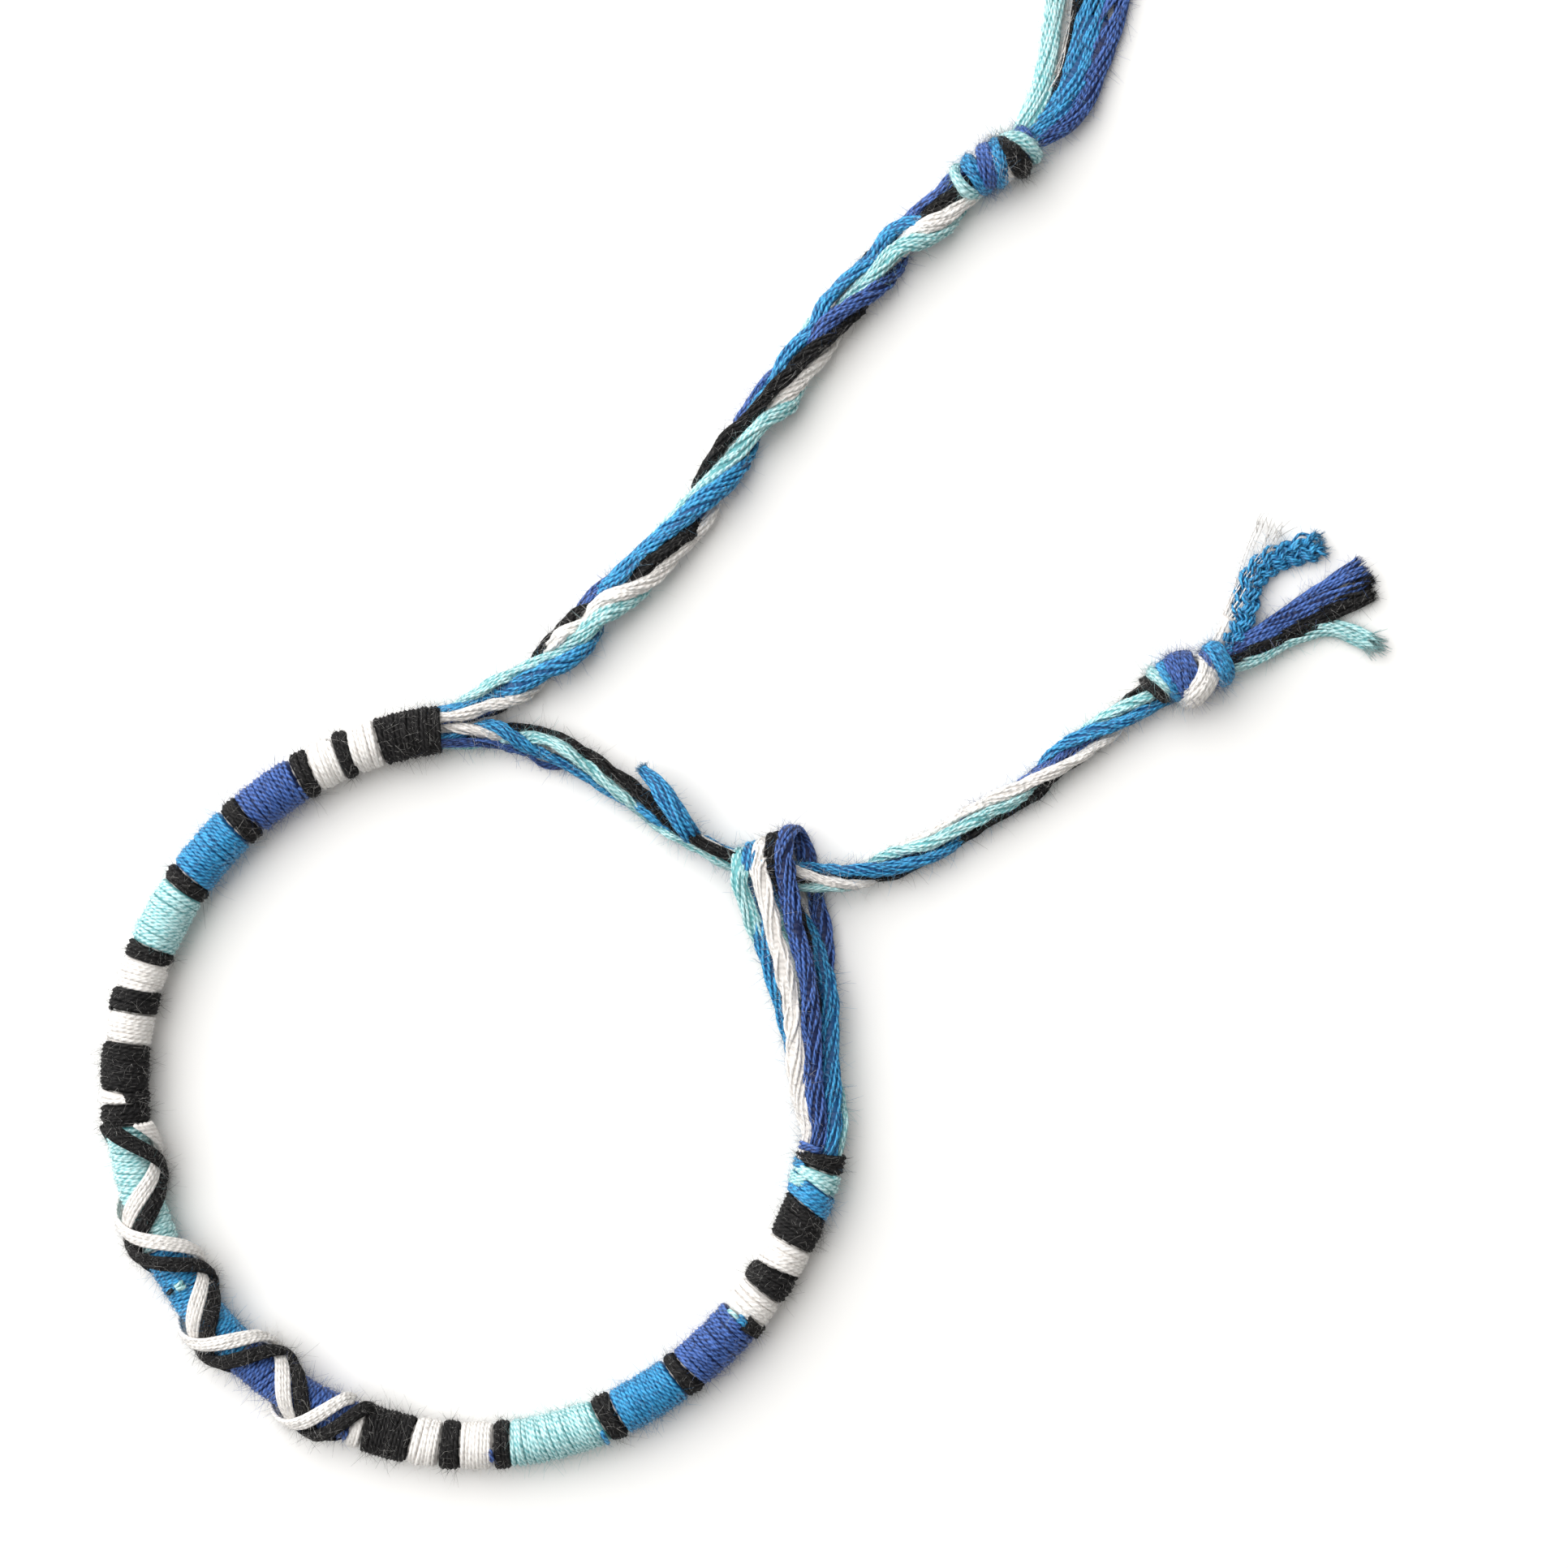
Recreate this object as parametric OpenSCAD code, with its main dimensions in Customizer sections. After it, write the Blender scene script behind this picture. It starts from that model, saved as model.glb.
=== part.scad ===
// A wrapped and twisted cotton bracelet, laid open on a flat surface: a ring of coloured wrapping with a
// crossed lacing, a loop of five flosses at one end, and two twisted tails at the other, each closed by a
// knot and a tassel. The lower tail passes through the loop.
// Millimetres, +Z up. The origin is the middle of the wrist opening, on the surface.

/* [Ring] */
// Average radius of the wrapped ring, to the middle of its cord
ring_r = 33.6; // [31:0.1:38]
// Outside diameter of the wrapped cord
wrap_d = 4.7; // [4.5:0.1:5.2]
// Diameter of the bundle of flosses inside the wrapping
core_d = 3; // [2.9:0.1:3.2]

/* [Lacing] */
// Length along the cord of one turn of a lace
lace_pitch = 11.3; // [10.5:0.1:12.5]
// Width of one flattened lace
lace_w = 1.6; // [1.2:0.1:1.8]
// Thickness of one flattened lace
lace_t = 0.38; // [0.3:0.02:0.44]

/* [Floss] */
// Thickness of one floss of the tails
tail_floss_d = 1.25; // [1.1:0.05:1.3]
// Radius of the circle on which a tail's flosses lie round each other
twist_r = 1.25; // [1.25:0.05:1.4]
// Thickness of one floss of the loop
loop_floss_d = 1.05; // [0.9:0.05:1.15]

/* [Tails] */
// Straight distance from the tails' mouth to the upper knot
upper_reach = 70.5; // [66:0.1:80]
// Direction of the upper tail, anticlockwise from +X
upper_heading = 46.1; // [43:0.1:50]
// Length of upper tail in which each floss goes once round
upper_pitch = 22.9; // [22:0.1:26]
// Straight distance from the loop to the lower knot
lower_reach = 39.8; // [37:0.1:46]
// Direction of the lower tail beyond the loop, anticlockwise from +X
lower_heading = 23.5; // [20:0.1:27]
// Length of lower tail in which each floss goes once round
lower_pitch = 20.4; // [20:0.1:24]

/* [Loop] */
// Straight distance from the loop's mouth to the tail that passes through it
loop_reach = 27.4; // [26:0.1:31]
// Direction of the loop, anticlockwise from +X
loop_heading = 102.2; // [100:0.1:105]

/* [Knots and tassels] */
// Length of a knot along its tail
knot_len = 9; // [8:0.1:10.5]
// Thickness of a knot across its tail
knot_w = 5.4; // [4.8:0.1:6]
// Length of a tassel beyond its knot
tassel_len = 16.4; // [12:0.1:22]
// Diameter of one lock of a tassel
lock_d = 2.1; // [1.6:0.1:2.4]

/* [Hidden] */
// Gap between pieces that touch
gap = 0.05;
// Sides of every floss, lace and lock
sides = 8;
// Sides of the wrapped cord, and of the ring that it follows
cord_fn = 48;
ring_fn = 240;

// Colour by name
COLOURS = [
  ["black", [0.17, 0.18, 0.19]],
  ["navy", [0.20, 0.29, 0.64]],
  ["blue", [0.14, 0.51, 0.79]],
  ["aqua", [0.58, 0.86, 0.86]],
  ["white", [0.94, 0.93, 0.91]]
];

// The ring's three arcs, anticlockwise from the tails to the loop
// Columns: turn in degrees, radius as a share of ring_r
ARCS = [
  [153.9, 1.010],
  [45.1, 0.922],
  [52.2, 1.056]
];
// Where the ring starts: polar angle, radius as a share of ring_r, and the direction that it sets off in
MOUTH_ANGLE = 95.6;
MOUTH_SHARE = 1.028;
MOUTH_HEADING = 186.8;

// The wrapping, band by band from the tails to the loop
// Columns: colour, share of the wrapped length, lean of the far end as a share of wrap_d, diameter as a
// share of wrap_d. The three bands of smaller diameter lie under the lacing.
WRAPS = [
  ["black", 41, 0, 1],
  ["white", 18, -0.06, 0.99],
  ["black", 9.5, -0.01, 1.02],
  ["white", 18, -0.10, 0.98],
  ["black", 11, -0.04, 1],
  ["navy", 39, 0, 0.97],
  ["black", 12, 0, 1],
  ["blue", 42, -0.06, 0.98],
  ["black", 10, -0.01, 1],
  ["aqua", 41, 0, 0.98],
  ["black", 9.5, 0.09, 1],
  ["white", 19, 0.10, 0.97],
  ["black", 15, 0.04, 1.01],
  ["white", 20, -0.02, 0.98],
  ["black", 31.5, -0.22, 0.99],
  ["white", 6.5, 0.02, 0.98],
  ["black", 14.5, 0, 1],
  ["aqua", 81, 0, 0.85],
  ["blue", 85, 0, 0.85],
  ["navy", 84, 0, 0.85],
  ["white", 7.5, 0.12, 0.98],
  ["black", 31.5, -0.06, 0.99],
  ["white", 18.5, -0.01, 0.98],
  ["black", 13, 0.04, 1.01],
  ["white", 21, -0.04, 0.98],
  ["black", 11, -0.02, 1],
  ["aqua", 59.5, 0.16, 0.97],
  ["black", 12, 0.06, 1.01],
  ["blue", 43, 0.06, 0.98],
  ["black", 10, 0.15, 1],
  ["navy", 47, -0.02, 0.98],
  ["white", 21.5, -0.04, 0.98],
  ["black", 17, 0.14, 1.01],
  ["white", 18, -0.01, 0.97],
  ["black", 26, -0.30, 0.98],
  ["blue", 15, -0.36, 1.02],
  ["aqua", 9.5, -0.10, 1.04],
  ["black", 11, 0.07, 1.02]
];
FIRST_UNDER = 17;
LAST_UNDER = 19;

// The laces, which wind round the thinner bands
// Columns: name, colour, side that it runs to over the top (1 towards the wrist, -1 away from it),
// how far on it passes the top as a share of lace_pitch, layer, room for it as a share of lace_pitch
LACES = [
  ["lace_under_white", "white", -1, 0.64, 0, 0.17],
  ["lace_under_black", "black", -1, 0.815, 0, 0.17],
  ["lace_over_white", "white", 1, 0.00, 1, 0.19],
  ["lace_over_black", "black", 1, 0.195, 1, 0.19]
];

// The ten places of the flosses in each mouth are numbered: 0 to 7 round the bore, anticlockwise seen
// from inside the cord and starting half a step above the left, then 8 left and 9 right of the middle
// Columns: colour, place of its upper tail, place of its lower tail
TAIL = [
  ["aqua", 8, 5],
  ["white", 1, 4],
  ["black", 0, 3],
  ["navy", 7, 2],
  ["blue", 6, 9]
];
// The loop's flosses from left to right over the tail
// Columns: colour, place of its front leg in the mouth, place of its back leg
LOOP = [
  ["aqua", 0, 7],
  ["blue", 8, 6],
  ["white", 1, 5],
  ["black", 9, 4],
  ["navy", 2, 3]
];

// Chosen points of the routes. Columns: share of the straight length along it, share of it to its left
UPPER_ROUTE = [[0.035, -0.014], [0.086, -0.025], [0.177, -0.045], [0.264, -0.044], [0.347, -0.048],
  [0.432, -0.042], [0.514, -0.028], [0.604, -0.013], [0.691, 0.003], [0.791, 0.013], [0.888, 0.018],
  [0.956, 0.008]];
LOWER_ROUTE_TO_LOOP = [[0.078, 0.018], [0.167, 0.041], [0.286, 0.048], [0.424, 0.039], [0.584, 0.024],
  [0.733, 0.007], [0.868, -0.009]];
LOWER_ROUTE_PAST_LOOP = [[0.083, -0.061], [0.168, -0.109], [0.281, -0.139], [0.408, -0.139],
  [0.544, -0.118], [0.684, -0.086], [0.840, -0.042]];
LOOP_ROUTE = [[0.100, -0.045], [0.262, -0.061], [0.487, -0.084], [0.663, -0.068], [0.843, -0.035]];

// The locks of each tassel. Columns: then two chosen points and the end, each as shares of tassel_len
// along the knot's direction and to its left, then the diameter as a share of lock_d
UPPER_LOCKS = [
  ["aqua", [0.10, 0.12], [0.30, 0.31], [0.70, 0.61], 1.05],
  ["white", [0.13, 0.09], [0.37, 0.24], [0.76, 0.53], 0.8],
  ["black", [0.16, 0.06], [0.42, 0.20], [0.79, 0.49], 0.8],
  ["blue", [0.20, 0.04], [0.47, 0.15], [0.89, 0.44], 1.1],
  ["navy", [0.24, 0.00], [0.55, 0.07], [1.00, 0.31], 1.05]
];
LOWER_LOCKS = [
  ["white", [0.10, 0.15], [0.27, 0.31], [0.52, 0.49], 0.8],
  ["blue", [0.18, 0.15], [0.36, 0.31], [0.80, 0.32], 1],
  ["navy", [0.25, 0.00], [0.52, 0.03], [0.99, 0.06], 1.05],
  ["black", [0.25, -0.05], [0.51, -0.05], [0.96, -0.05], 1],
  ["aqua", [0.16, -0.08], [0.39, -0.10], [0.84, -0.36], 0.9]
];
// The knots' directions, anticlockwise from +X
UPPER_KNOT_HEADING = 36;
LOWER_KNOT_HEADING = 27;
// Thickness of a knot's turn as a share of knot_w, and size of the face where the tail meets it as a share
// of the tail's half height
turn_share = 0.21;
entry_share = 0.8;
// Straight pieces in a lock, and its thickness at the tip as a share
lock_parts = 3;
// How high a lock's two chosen points are, from lying on the surface to the knot's middle
LOCK_RISE = [0.6, 0.15];
tip_share = 0.7;
// The turns of a knot. Columns: share of knot_len along it, tilt to its left, tilt up, diameter as a
// share of knot_w
KNOT_TURNS = [
  [0.25, 20, 10, 0.86],
  [0.50, -24, -8, 1],
  [0.76, -14, 12, 0.94]
];

// Plain functions
function dir(a) = [cos(a), sin(a), 0];
function flat(p) = [p[0], p[1], 0];
function unit(v) = v / norm(v);
function mix(a, b, t) = a + (b - a) * t;
function clamp01(t) = min(max(t, 0), 1);
function smooth(t) = let (u = clamp01(t)) u * u * (3 - 2 * u);
function paint(name) = COLOURS[search([name], COLOURS)[0]][1];
function total(list, n) = n <= 0 ? 0 : list[n - 1] + total(list, n - 1);
function column(table, c) = [for (row = table) row[c]];
function two_digits(n) = n < 10 ? str("0", n) : str(n);
// A point given as shares of a straight length that starts at a point with a heading
function along(start, heading, reach, share) =
  start + reach * (share[0] * dir(heading) + share[1] * dir(heading + 90));
// Smooth curve through points, at a parameter that counts them
function spline(p, t) =
  let (last = len(p) - 1, i = min(floor(t), last - 1), f = t - i,
       a = p[max(i - 1, 0)], b = p[i], c = p[i + 1], d = p[min(i + 2, last)])
  0.5 * (2 * b + (c - a) * f + (2 * a - 5 * b + 4 * c - d) * f * f + (3 * b - a - 3 * c + d) * f * f * f);
function spline_list(p, n) = [for (i = [0 : n]) spline(p, i * (len(p) - 1) / n)];
function heading_of(line, i) =
  unit(line[min(i + 1, len(line) - 1)] - line[max(i - 1, 0)]);
function left_of(line, i) = let (h = heading_of(line, i)) [-h[1], h[0], 0];
// Running length of a line of points
function lengths(line) =
  [for (i = 0, s = 0; i < len(line); i = i + 1, s = i < len(line) ? s + norm(line[i] - line[i - 1]) : s) s];

// A smooth line of n + 1 points laid out by length, closer together by a share at its start
function measured_line(points, n, closer) =
  let (fine = spline_list(points, 4 * n), s = lengths(fine), last = len(s) - 1,
       xs = [for (i = [0 : last]) [s[i], fine[i][0]]], ys = [for (i = [0 : last]) [s[i], fine[i][1]]])
  [for (i = [0 : n])
    let (at = s[last] * i / n * mix(closer, 1, i / n)) [lookup(at, xs), lookup(at, ys), 0]];

// The cord's path along the arcs
ARC_R = [for (a = ARCS) a[1] * ring_r];
ARC_LEN = [for (k = [0 : len(ARCS) - 1]) ARC_R[k] * ARCS[k][0] * PI / 180];
ARC_S = [for (k = [0 : len(ARCS)]) total(ARC_LEN, k)];
ARC_HEADING = [for (k = [0 : len(ARCS)]) MOUTH_HEADING + total(column(ARCS, 0), k)];
wrap_len = ARC_S[len(ARCS)];
mouth = MOUTH_SHARE * ring_r * dir(MOUTH_ANGLE);
function arc_start(k) =
  k == 0 ? mouth : arc_centre(k - 1) + ARC_R[k - 1] * dir(ARC_HEADING[k] - 90);
function arc_centre(k) = arc_start(k) + ARC_R[k] * dir(ARC_HEADING[k] + 90);
ARC_CENTRE = [for (k = [0 : len(ARCS) - 1]) arc_centre(k)];
function arc_at(s) = s < ARC_S[1] ? 0 : s < ARC_S[2] ? 1 : 2;
// Heading on arc k at the length s along the cord, and the outward direction there
function arc_heading(k, s) = ARC_HEADING[k] + (s - ARC_S[k]) / ARC_R[k] * 180 / PI;
function arc_out(k, s) = dir(arc_heading(k, s) - 90);
function arc_point(k, s) = ARC_CENTRE[k] + ARC_R[k] * arc_out(k, s);

core_r = core_d / 2;
bore_r = core_r + gap;
under_r = WRAPS[FIRST_UNDER][3] * wrap_d / 2;
// The lower layer of lacing is whole under the cord and the upper one is squashed to this share
squash = 0.4;
rings_per_turn = 14;
lace_gap = 0.09;
ring_z = max(wrap_d / 2, under_r + 2 * lace_gap + (1 + squash) * lace_t);
tail_r = tail_floss_d / 2;
loop_r = loop_floss_d / 2;

share_total = total(column(WRAPS, 1), len(WRAPS));
function wrap_s(i) = wrap_len * total(column(WRAPS, 1), i) / share_total;
function wrap_lean(i) = i == 0 ? MOUTH_LEAN * wrap_d : WRAPS[i - 1][2] * wrap_d;
// Lean of the cord's first end, as a share of wrap_d
MOUTH_LEAN = -0.08;
WRAP_NODES = [for (i = [0 : len(WRAPS) - 1]) str("wrap_", two_digits(i + 1), "_", WRAPS[i][0])];
LACE_NODES = column(LACES, 0);
LOOP_NODES = [for (row = LOOP) str("loop_", row[0])];
UPPER_NODES = [for (row = TAIL) str("upper_tail_", row[0])];
LOWER_NODES = [for (row = TAIL) str("lower_tail_", row[0])];

// Depth of the flosses' ends inside a mouth
mouth_depth = 1;

// Part of a round tube on arc k, from s0 to s1
module arc_tube(k, s0, s1, outer_r, inner_r) {
  turn = (s1 - s0) / ARC_R[k] * 180 / PI;
  translate(ARC_CENTRE[k] + [0, 0, ring_z])
    rotate([0, 0, arc_heading(k, s0) - 90])
      rotate_extrude(angle = turn, $fn = ring_fn)
        translate([ARC_R[k], 0])
          difference() {
            circle(outer_r, $fn = cord_fn);
            if (inner_r > 0) circle(inner_r, $fn = cord_fn);
          }
}

// The bundle inside the wrapping: three arcs, joined by short straight necks
module core() {
  neck_half_len = 0.6;
  neck_share = 0.9;
  last = len(ARCS) - 1;
  color(paint("white")) {
    for (k = [0 : last])
      arc_tube(k, ARC_S[k] + (k == 0 ? mouth_depth : gap),
        ARC_S[k + 1] - (k == last ? mouth_depth : gap), core_r, 0);
    for (k = [1 : last])
      translate(arc_start(k) + [0, 0, ring_z])
        rotate([0, 90, ARC_HEADING[k]])
          cylinder(h = 2 * neck_half_len, r = neck_share * core_r, center = true, $fn = cord_fn);
  }
}

// One band of wrapping: a sleeve on the core whose ends lean
module wrap(i) {
  // How far the leaning cut reaches beyond the cord, as a share of its radius, and the spare length that it
  // trims as a share of wrap_d
  reach = 1.3;
  spare = 0.4;
  s0 = wrap_s(i) + gap;
  s1 = wrap_s(i + 1) - gap;
  k = arc_at((s0 + s1) / 2);
  margin = spare * wrap_d;
  cut0 = reach * (arc_out(k, s0) * wrap_d + dir(arc_heading(k, s0)) * wrap_lean(i)) / 2;
  cut1 = reach * (arc_out(k, s1) * wrap_d + dir(arc_heading(k, s1)) * wrap_lean(i + 1)) / 2;
  corners = [arc_point(k, s0) - cut0, arc_point(k, s0) + cut0,
    arc_point(k, s1) + cut1, arc_point(k, s1) - cut1];
  color(paint(WRAPS[i][0]))
    intersection() {
      arc_tube(k, s0 - margin, s1 + margin, WRAPS[i][3] * wrap_d / 2, bore_r);
      linear_extrude(height = ring_z + wrap_d)
        polygon([for (c = corners) [c[0], c[1]]]);
    }
}

// The two triangles of a four-sided face, split along its shorter diagonal
function halves(p, a, b, c, d) =
  norm(p[a] - p[c]) <= norm(p[b] - p[d]) ? [[a, b, c], [a, c, d]] : [[a, b, d], [b, c, d]];

// A closed tube through rings of points, which all have the same count
module skin(rings) {
  n = len(rings[0]);
  m = len(rings);
  points = [for (ring = rings) for (p = ring) p];
  polyhedron(
    points = points,
    faces = concat(
      [[for (j = [0 : n - 1]) j]],
      [[for (j = [n - 1 : -1 : 0]) (m - 1) * n + j]],
      [for (i = [0 : m - 2]) for (j = [0 : n - 1])
        let (k = (j + 1) % n)
        each halves(points, i * n + j, (i + 1) * n + j, (i + 1) * n + k, i * n + k)]),
    convexity = 10);
}

// A point that a lace's ring can't press through the surface: below soft_z it comes down ever less
soft_z = 0.15;
function rest(p) = [p[0], p[1], p[2] > soft_z ? p[2] : soft_z * exp((p[2] - soft_z) / soft_z)];

// A round floss along a line of points. Its rings turn about the given side directions.
function floss_rings(line, side, radius) =
  [for (i = [0 : len(line) - 1])
    let (t = heading_of(line, i), a = unit(side[i] - (side[i] * t) * t), b = cross(t, a))
    [for (j = [0 : sides - 1])
      line[i] + radius[i] * (cos(360 * j / sides) * a + sin(360 * j / sides) * b)]];

// A lace round the cord on the first arc. Each ring lies in a plane across the cord.
module lace(i) {
  way = LACES[i][2];
  layer = LACES[i][4];
  s0 = wrap_s(FIRST_UNDER) + gap;
  s1 = wrap_s(LAST_UNDER + 1) - gap;
  count = ceil((s1 - s0) / lace_pitch * rings_per_turn);
  middle_r = under_r + lace_gap + lace_t / 2 + layer * (lace_gap + lace_t);
  // Half of the lace's width as an angle round the cord, within the room beside its neighbour
  room_turn = 180 * LACES[i][5] - gap / middle_r * 180 / PI;
  half_turn = min(room_turn,
    lace_w / 2 / sin(atan2(lace_pitch, 2 * PI * under_r)) / middle_r * 180 / PI);
  color(paint(LACES[i][1]))
    skin([for (m = [0 : count])
      let (s = mix(s0, s1, m / count), out = arc_out(0, s),
           roll = way * 360 * ((s - s0) / lace_pitch - LACES[i][3]))
      [for (j = [0 : sides - 1])
        let (b = 360 * j / sides, a = roll + half_turn * cos(b), r = middle_r + lace_t / 2 * sin(b))
        rest(arc_point(0, s) + [0, 0, ring_z] - out * r * sin(a) + [0, 0, r * cos(a)])]]);
}

// The flosses' places in a mouth, as left and up from the cord's middle
slot_floss_r = 0.23 * bore_r;
function slot(n) =
  n == 8 ? [0.26 * bore_r, 0] : n == 9 ? [-0.26 * bore_r, 0]
    : 0.735 * bore_r * [cos(22.5 + 45 * n), sin(22.5 + 45 * n)];

// Height of the tail's middle and of the loop's legs where the tail passes through the loop
eye_half_h = 2.35;
eye_z = eye_half_h + loop_r;
tail_z = twist_r + tail_r;
// The loop draws the tail together to this share, all of it within pinch_hold of its middle and less over
// the next pinch_len
pinch = 0.85;
pinch_hold = 5.6;
pinch_len = 7;

eye = along(flat(arc_point(2, wrap_len)), loop_heading, loop_reach, [1, 0]);
tails_heading = MOUTH_HEADING - 180;
loop_mouth = arc_point(2, wrap_len);

upper_knot_at = along(mouth, upper_heading, upper_reach, [1, 0]);
lower_knot_at = along(eye, lower_heading, lower_reach, [1, 0]);
to_eye = eye - mouth;
to_eye_heading = atan2(to_eye[1], to_eye[0]);
upper_points = concat([mouth],
  [for (p = UPPER_ROUTE) along(mouth, upper_heading, upper_reach, p)], [upper_knot_at]);
lower_points = concat([mouth],
  [for (p = LOWER_ROUTE_TO_LOOP) along(mouth, to_eye_heading, norm(to_eye), p)], [eye],
  [for (p = LOWER_ROUTE_PAST_LOOP) along(eye, lower_heading, lower_reach, p)], [lower_knot_at]);
tail_rings = 44;
closer_rings = 0.7;
upper_line = measured_line(upper_points, tail_rings, closer_rings);
lower_line = measured_line(lower_points, tail_rings, closer_rings);
upper_s = lengths(upper_line);
lower_s = lengths(lower_line);

// Where the first floss passes over the top of each tail, from the mouth
UPPER_PHASE = 19.6;
LOWER_PHASE = 12.7;

// Lengths from a mouth over which flosses leave their places and reach their full thickness
spread_len = 4;
grow_len = 12;

// A floss of a tail: at its place in the mouth first, then one of five that lie round each other.
// Gives its points, each with the radius there.
function tail_path(i, line, s, pitch, phase, place, drawn_in) =
  [for (m = [0 : len(line) - 1])
    let (w = smooth(s[m] / spread_len),
         near = drawn_in ? smooth((pinch_hold + pinch_len - norm(line[m] - pinch_at)) / pinch_len) : 0,
         turn = 360 * ((s[m] - phase) / pitch - i / len(TAIL)),
         r = mix(slot_floss_r, tail_r, smooth(s[m] / grow_len)) * mix(1, pinch, near),
         round = twist_r * r / tail_r * [-sin(turn), cos(turn)],
         off = mix(slot(place) * r / slot_floss_r, round, w),
         z = mix(mix(ring_z, tail_z, w), eye_z, near))
    [line[m] + left_of(line, m) * off[0] + [0, 0, z + off[1]], r]];

// The end of a floss inside a mouth, which the cord's middle reaches at a point with a heading
function mouth_end(at, heading, place) =
  [at - (mouth_depth - 2 * gap) * dir(heading) + slot(place)[0] * dir(heading + 90)
    + [0, 0, ring_z + slot(place)[1]], slot_floss_r];

// Short straight end of a floss at its knot
tail_end = 0.4;
module tail(i, line, s, pitch, phase, place, drawn_in) {
  last = len(line) - 1;
  body = tail_path(i, line, s, pitch, phase, place, drawn_in);
  path = concat([mouth_end(mouth, tails_heading, place)], body,
    [[body[last][0] + tail_end * heading_of(line, last), body[last][1]]]);
  side = concat([dir(tails_heading + 90)], [for (m = [0 : last]) left_of(line, m)], [left_of(line, last)]);
  color(paint(TAIL[i][0]))
    skin(floss_rings(column(path, 0), side, column(path, 1)));
}
module upper_tail(i) tail(i, upper_line, upper_s, upper_pitch, UPPER_PHASE, TAIL[i][1], false);
module lower_tail(i) tail(i, lower_line, lower_s, lower_pitch, LOWER_PHASE, TAIL[i][2], true);

// The legs of the loop, from its mouth to the eye
leg_rings = 11;
loop_line = spline_list(concat([loop_mouth],
  [for (p = LOOP_ROUTE) along(loop_mouth, loop_heading, loop_reach, p)], [eye]), leg_rings);
loop_s = lengths(loop_line);
// To the left along the tail that passes through the loop
eye_index = len(LOWER_ROUTE_TO_LOOP) + 1;
eye_left = -unit(lower_points[eye_index + 1] - lower_points[eye_index - 1]);
// Straight across the tail, away from the loop's mouth
eye_forward = [eye_left[1], -eye_left[0], 0];
// Step from floss to floss over the tail, and how far to the right they come back under it
eye_step = 1.42 * loop_floss_d;
eye_shift = 1.75 * loop_floss_d;
// Middle of the stretch of tail between the front and the back legs
pinch_at = eye - eye_left * eye_shift / 2;
// How far beyond the tail the loop turns back, and the length in which its flosses get thick
turn_reach = 2.8;
loop_grow_len = 5;
// Share of a leg over which its flosses fan out
fan_share = 0.75;

function eye_place(i, back) = (2 - i) * eye_step - (back ? eye_shift : 0);
function leg_path(i, place, back) =
  [for (m = [0 : leg_rings])
    let (t = loop_s[m] / loop_s[leg_rings],
         r = mix(slot_floss_r, loop_r, smooth(loop_s[m] / loop_grow_len)),
         start = slot(place) * r / slot_floss_r,
         fan = smooth(t / fan_share),
         lift = smooth(t))
    [loop_line[m] + left_of(loop_line, m) * start[0] * (1 - fan) + eye_left * eye_place(i, back) * fan
      + [0, 0, mix(ring_z + start[1], eye_z + (back ? -eye_half_h : eye_half_h), lift)], r]];
function turn_path(i) =
  [for (a = [22.5 : 22.5 : 157.5])
    [eye + eye_left * mix(eye_place(i, false), eye_place(i, true), a / 180)
      + eye_forward * turn_reach * sin(a) + [0, 0, eye_z + eye_half_h * cos(a)], loop_r]];

module loop(i) {
  front = leg_path(i, LOOP[i][1], false);
  back = leg_path(i, LOOP[i][2], true);
  ends = [for (c = [1, 2]) mouth_end(loop_mouth, ARC_HEADING[len(ARCS)], LOOP[i][c])];
  path = concat([ends[0]], front, turn_path(i), [for (m = [leg_rings : -1 : 0]) back[m]], [ends[1]]);
  leg_sides = [for (m = [0 : leg_rings]) left_of(loop_line, m)];
  side = concat([leg_sides[0]], leg_sides, [for (p = turn_path(i)) eye_left],
    [for (m = [leg_rings : -1 : 0]) leg_sides[m]], [leg_sides[0]]);
  color(paint(LOOP[i][0]))
    skin(floss_rings(column(path, 0), side, column(path, 1)));
}

// A lock of a tassel, along a smooth line from the knot's end down to the surface
module lock(points, lock_r) {
  line = spline_list(points, lock_parts);
  for (m = [0 : lock_parts - 1])
    hull()
      for (c = [m, m + 1])
        translate(line[c]) sphere(lock_r * (c == lock_parts ? tip_share : 1), $fn = sides);
}

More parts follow.
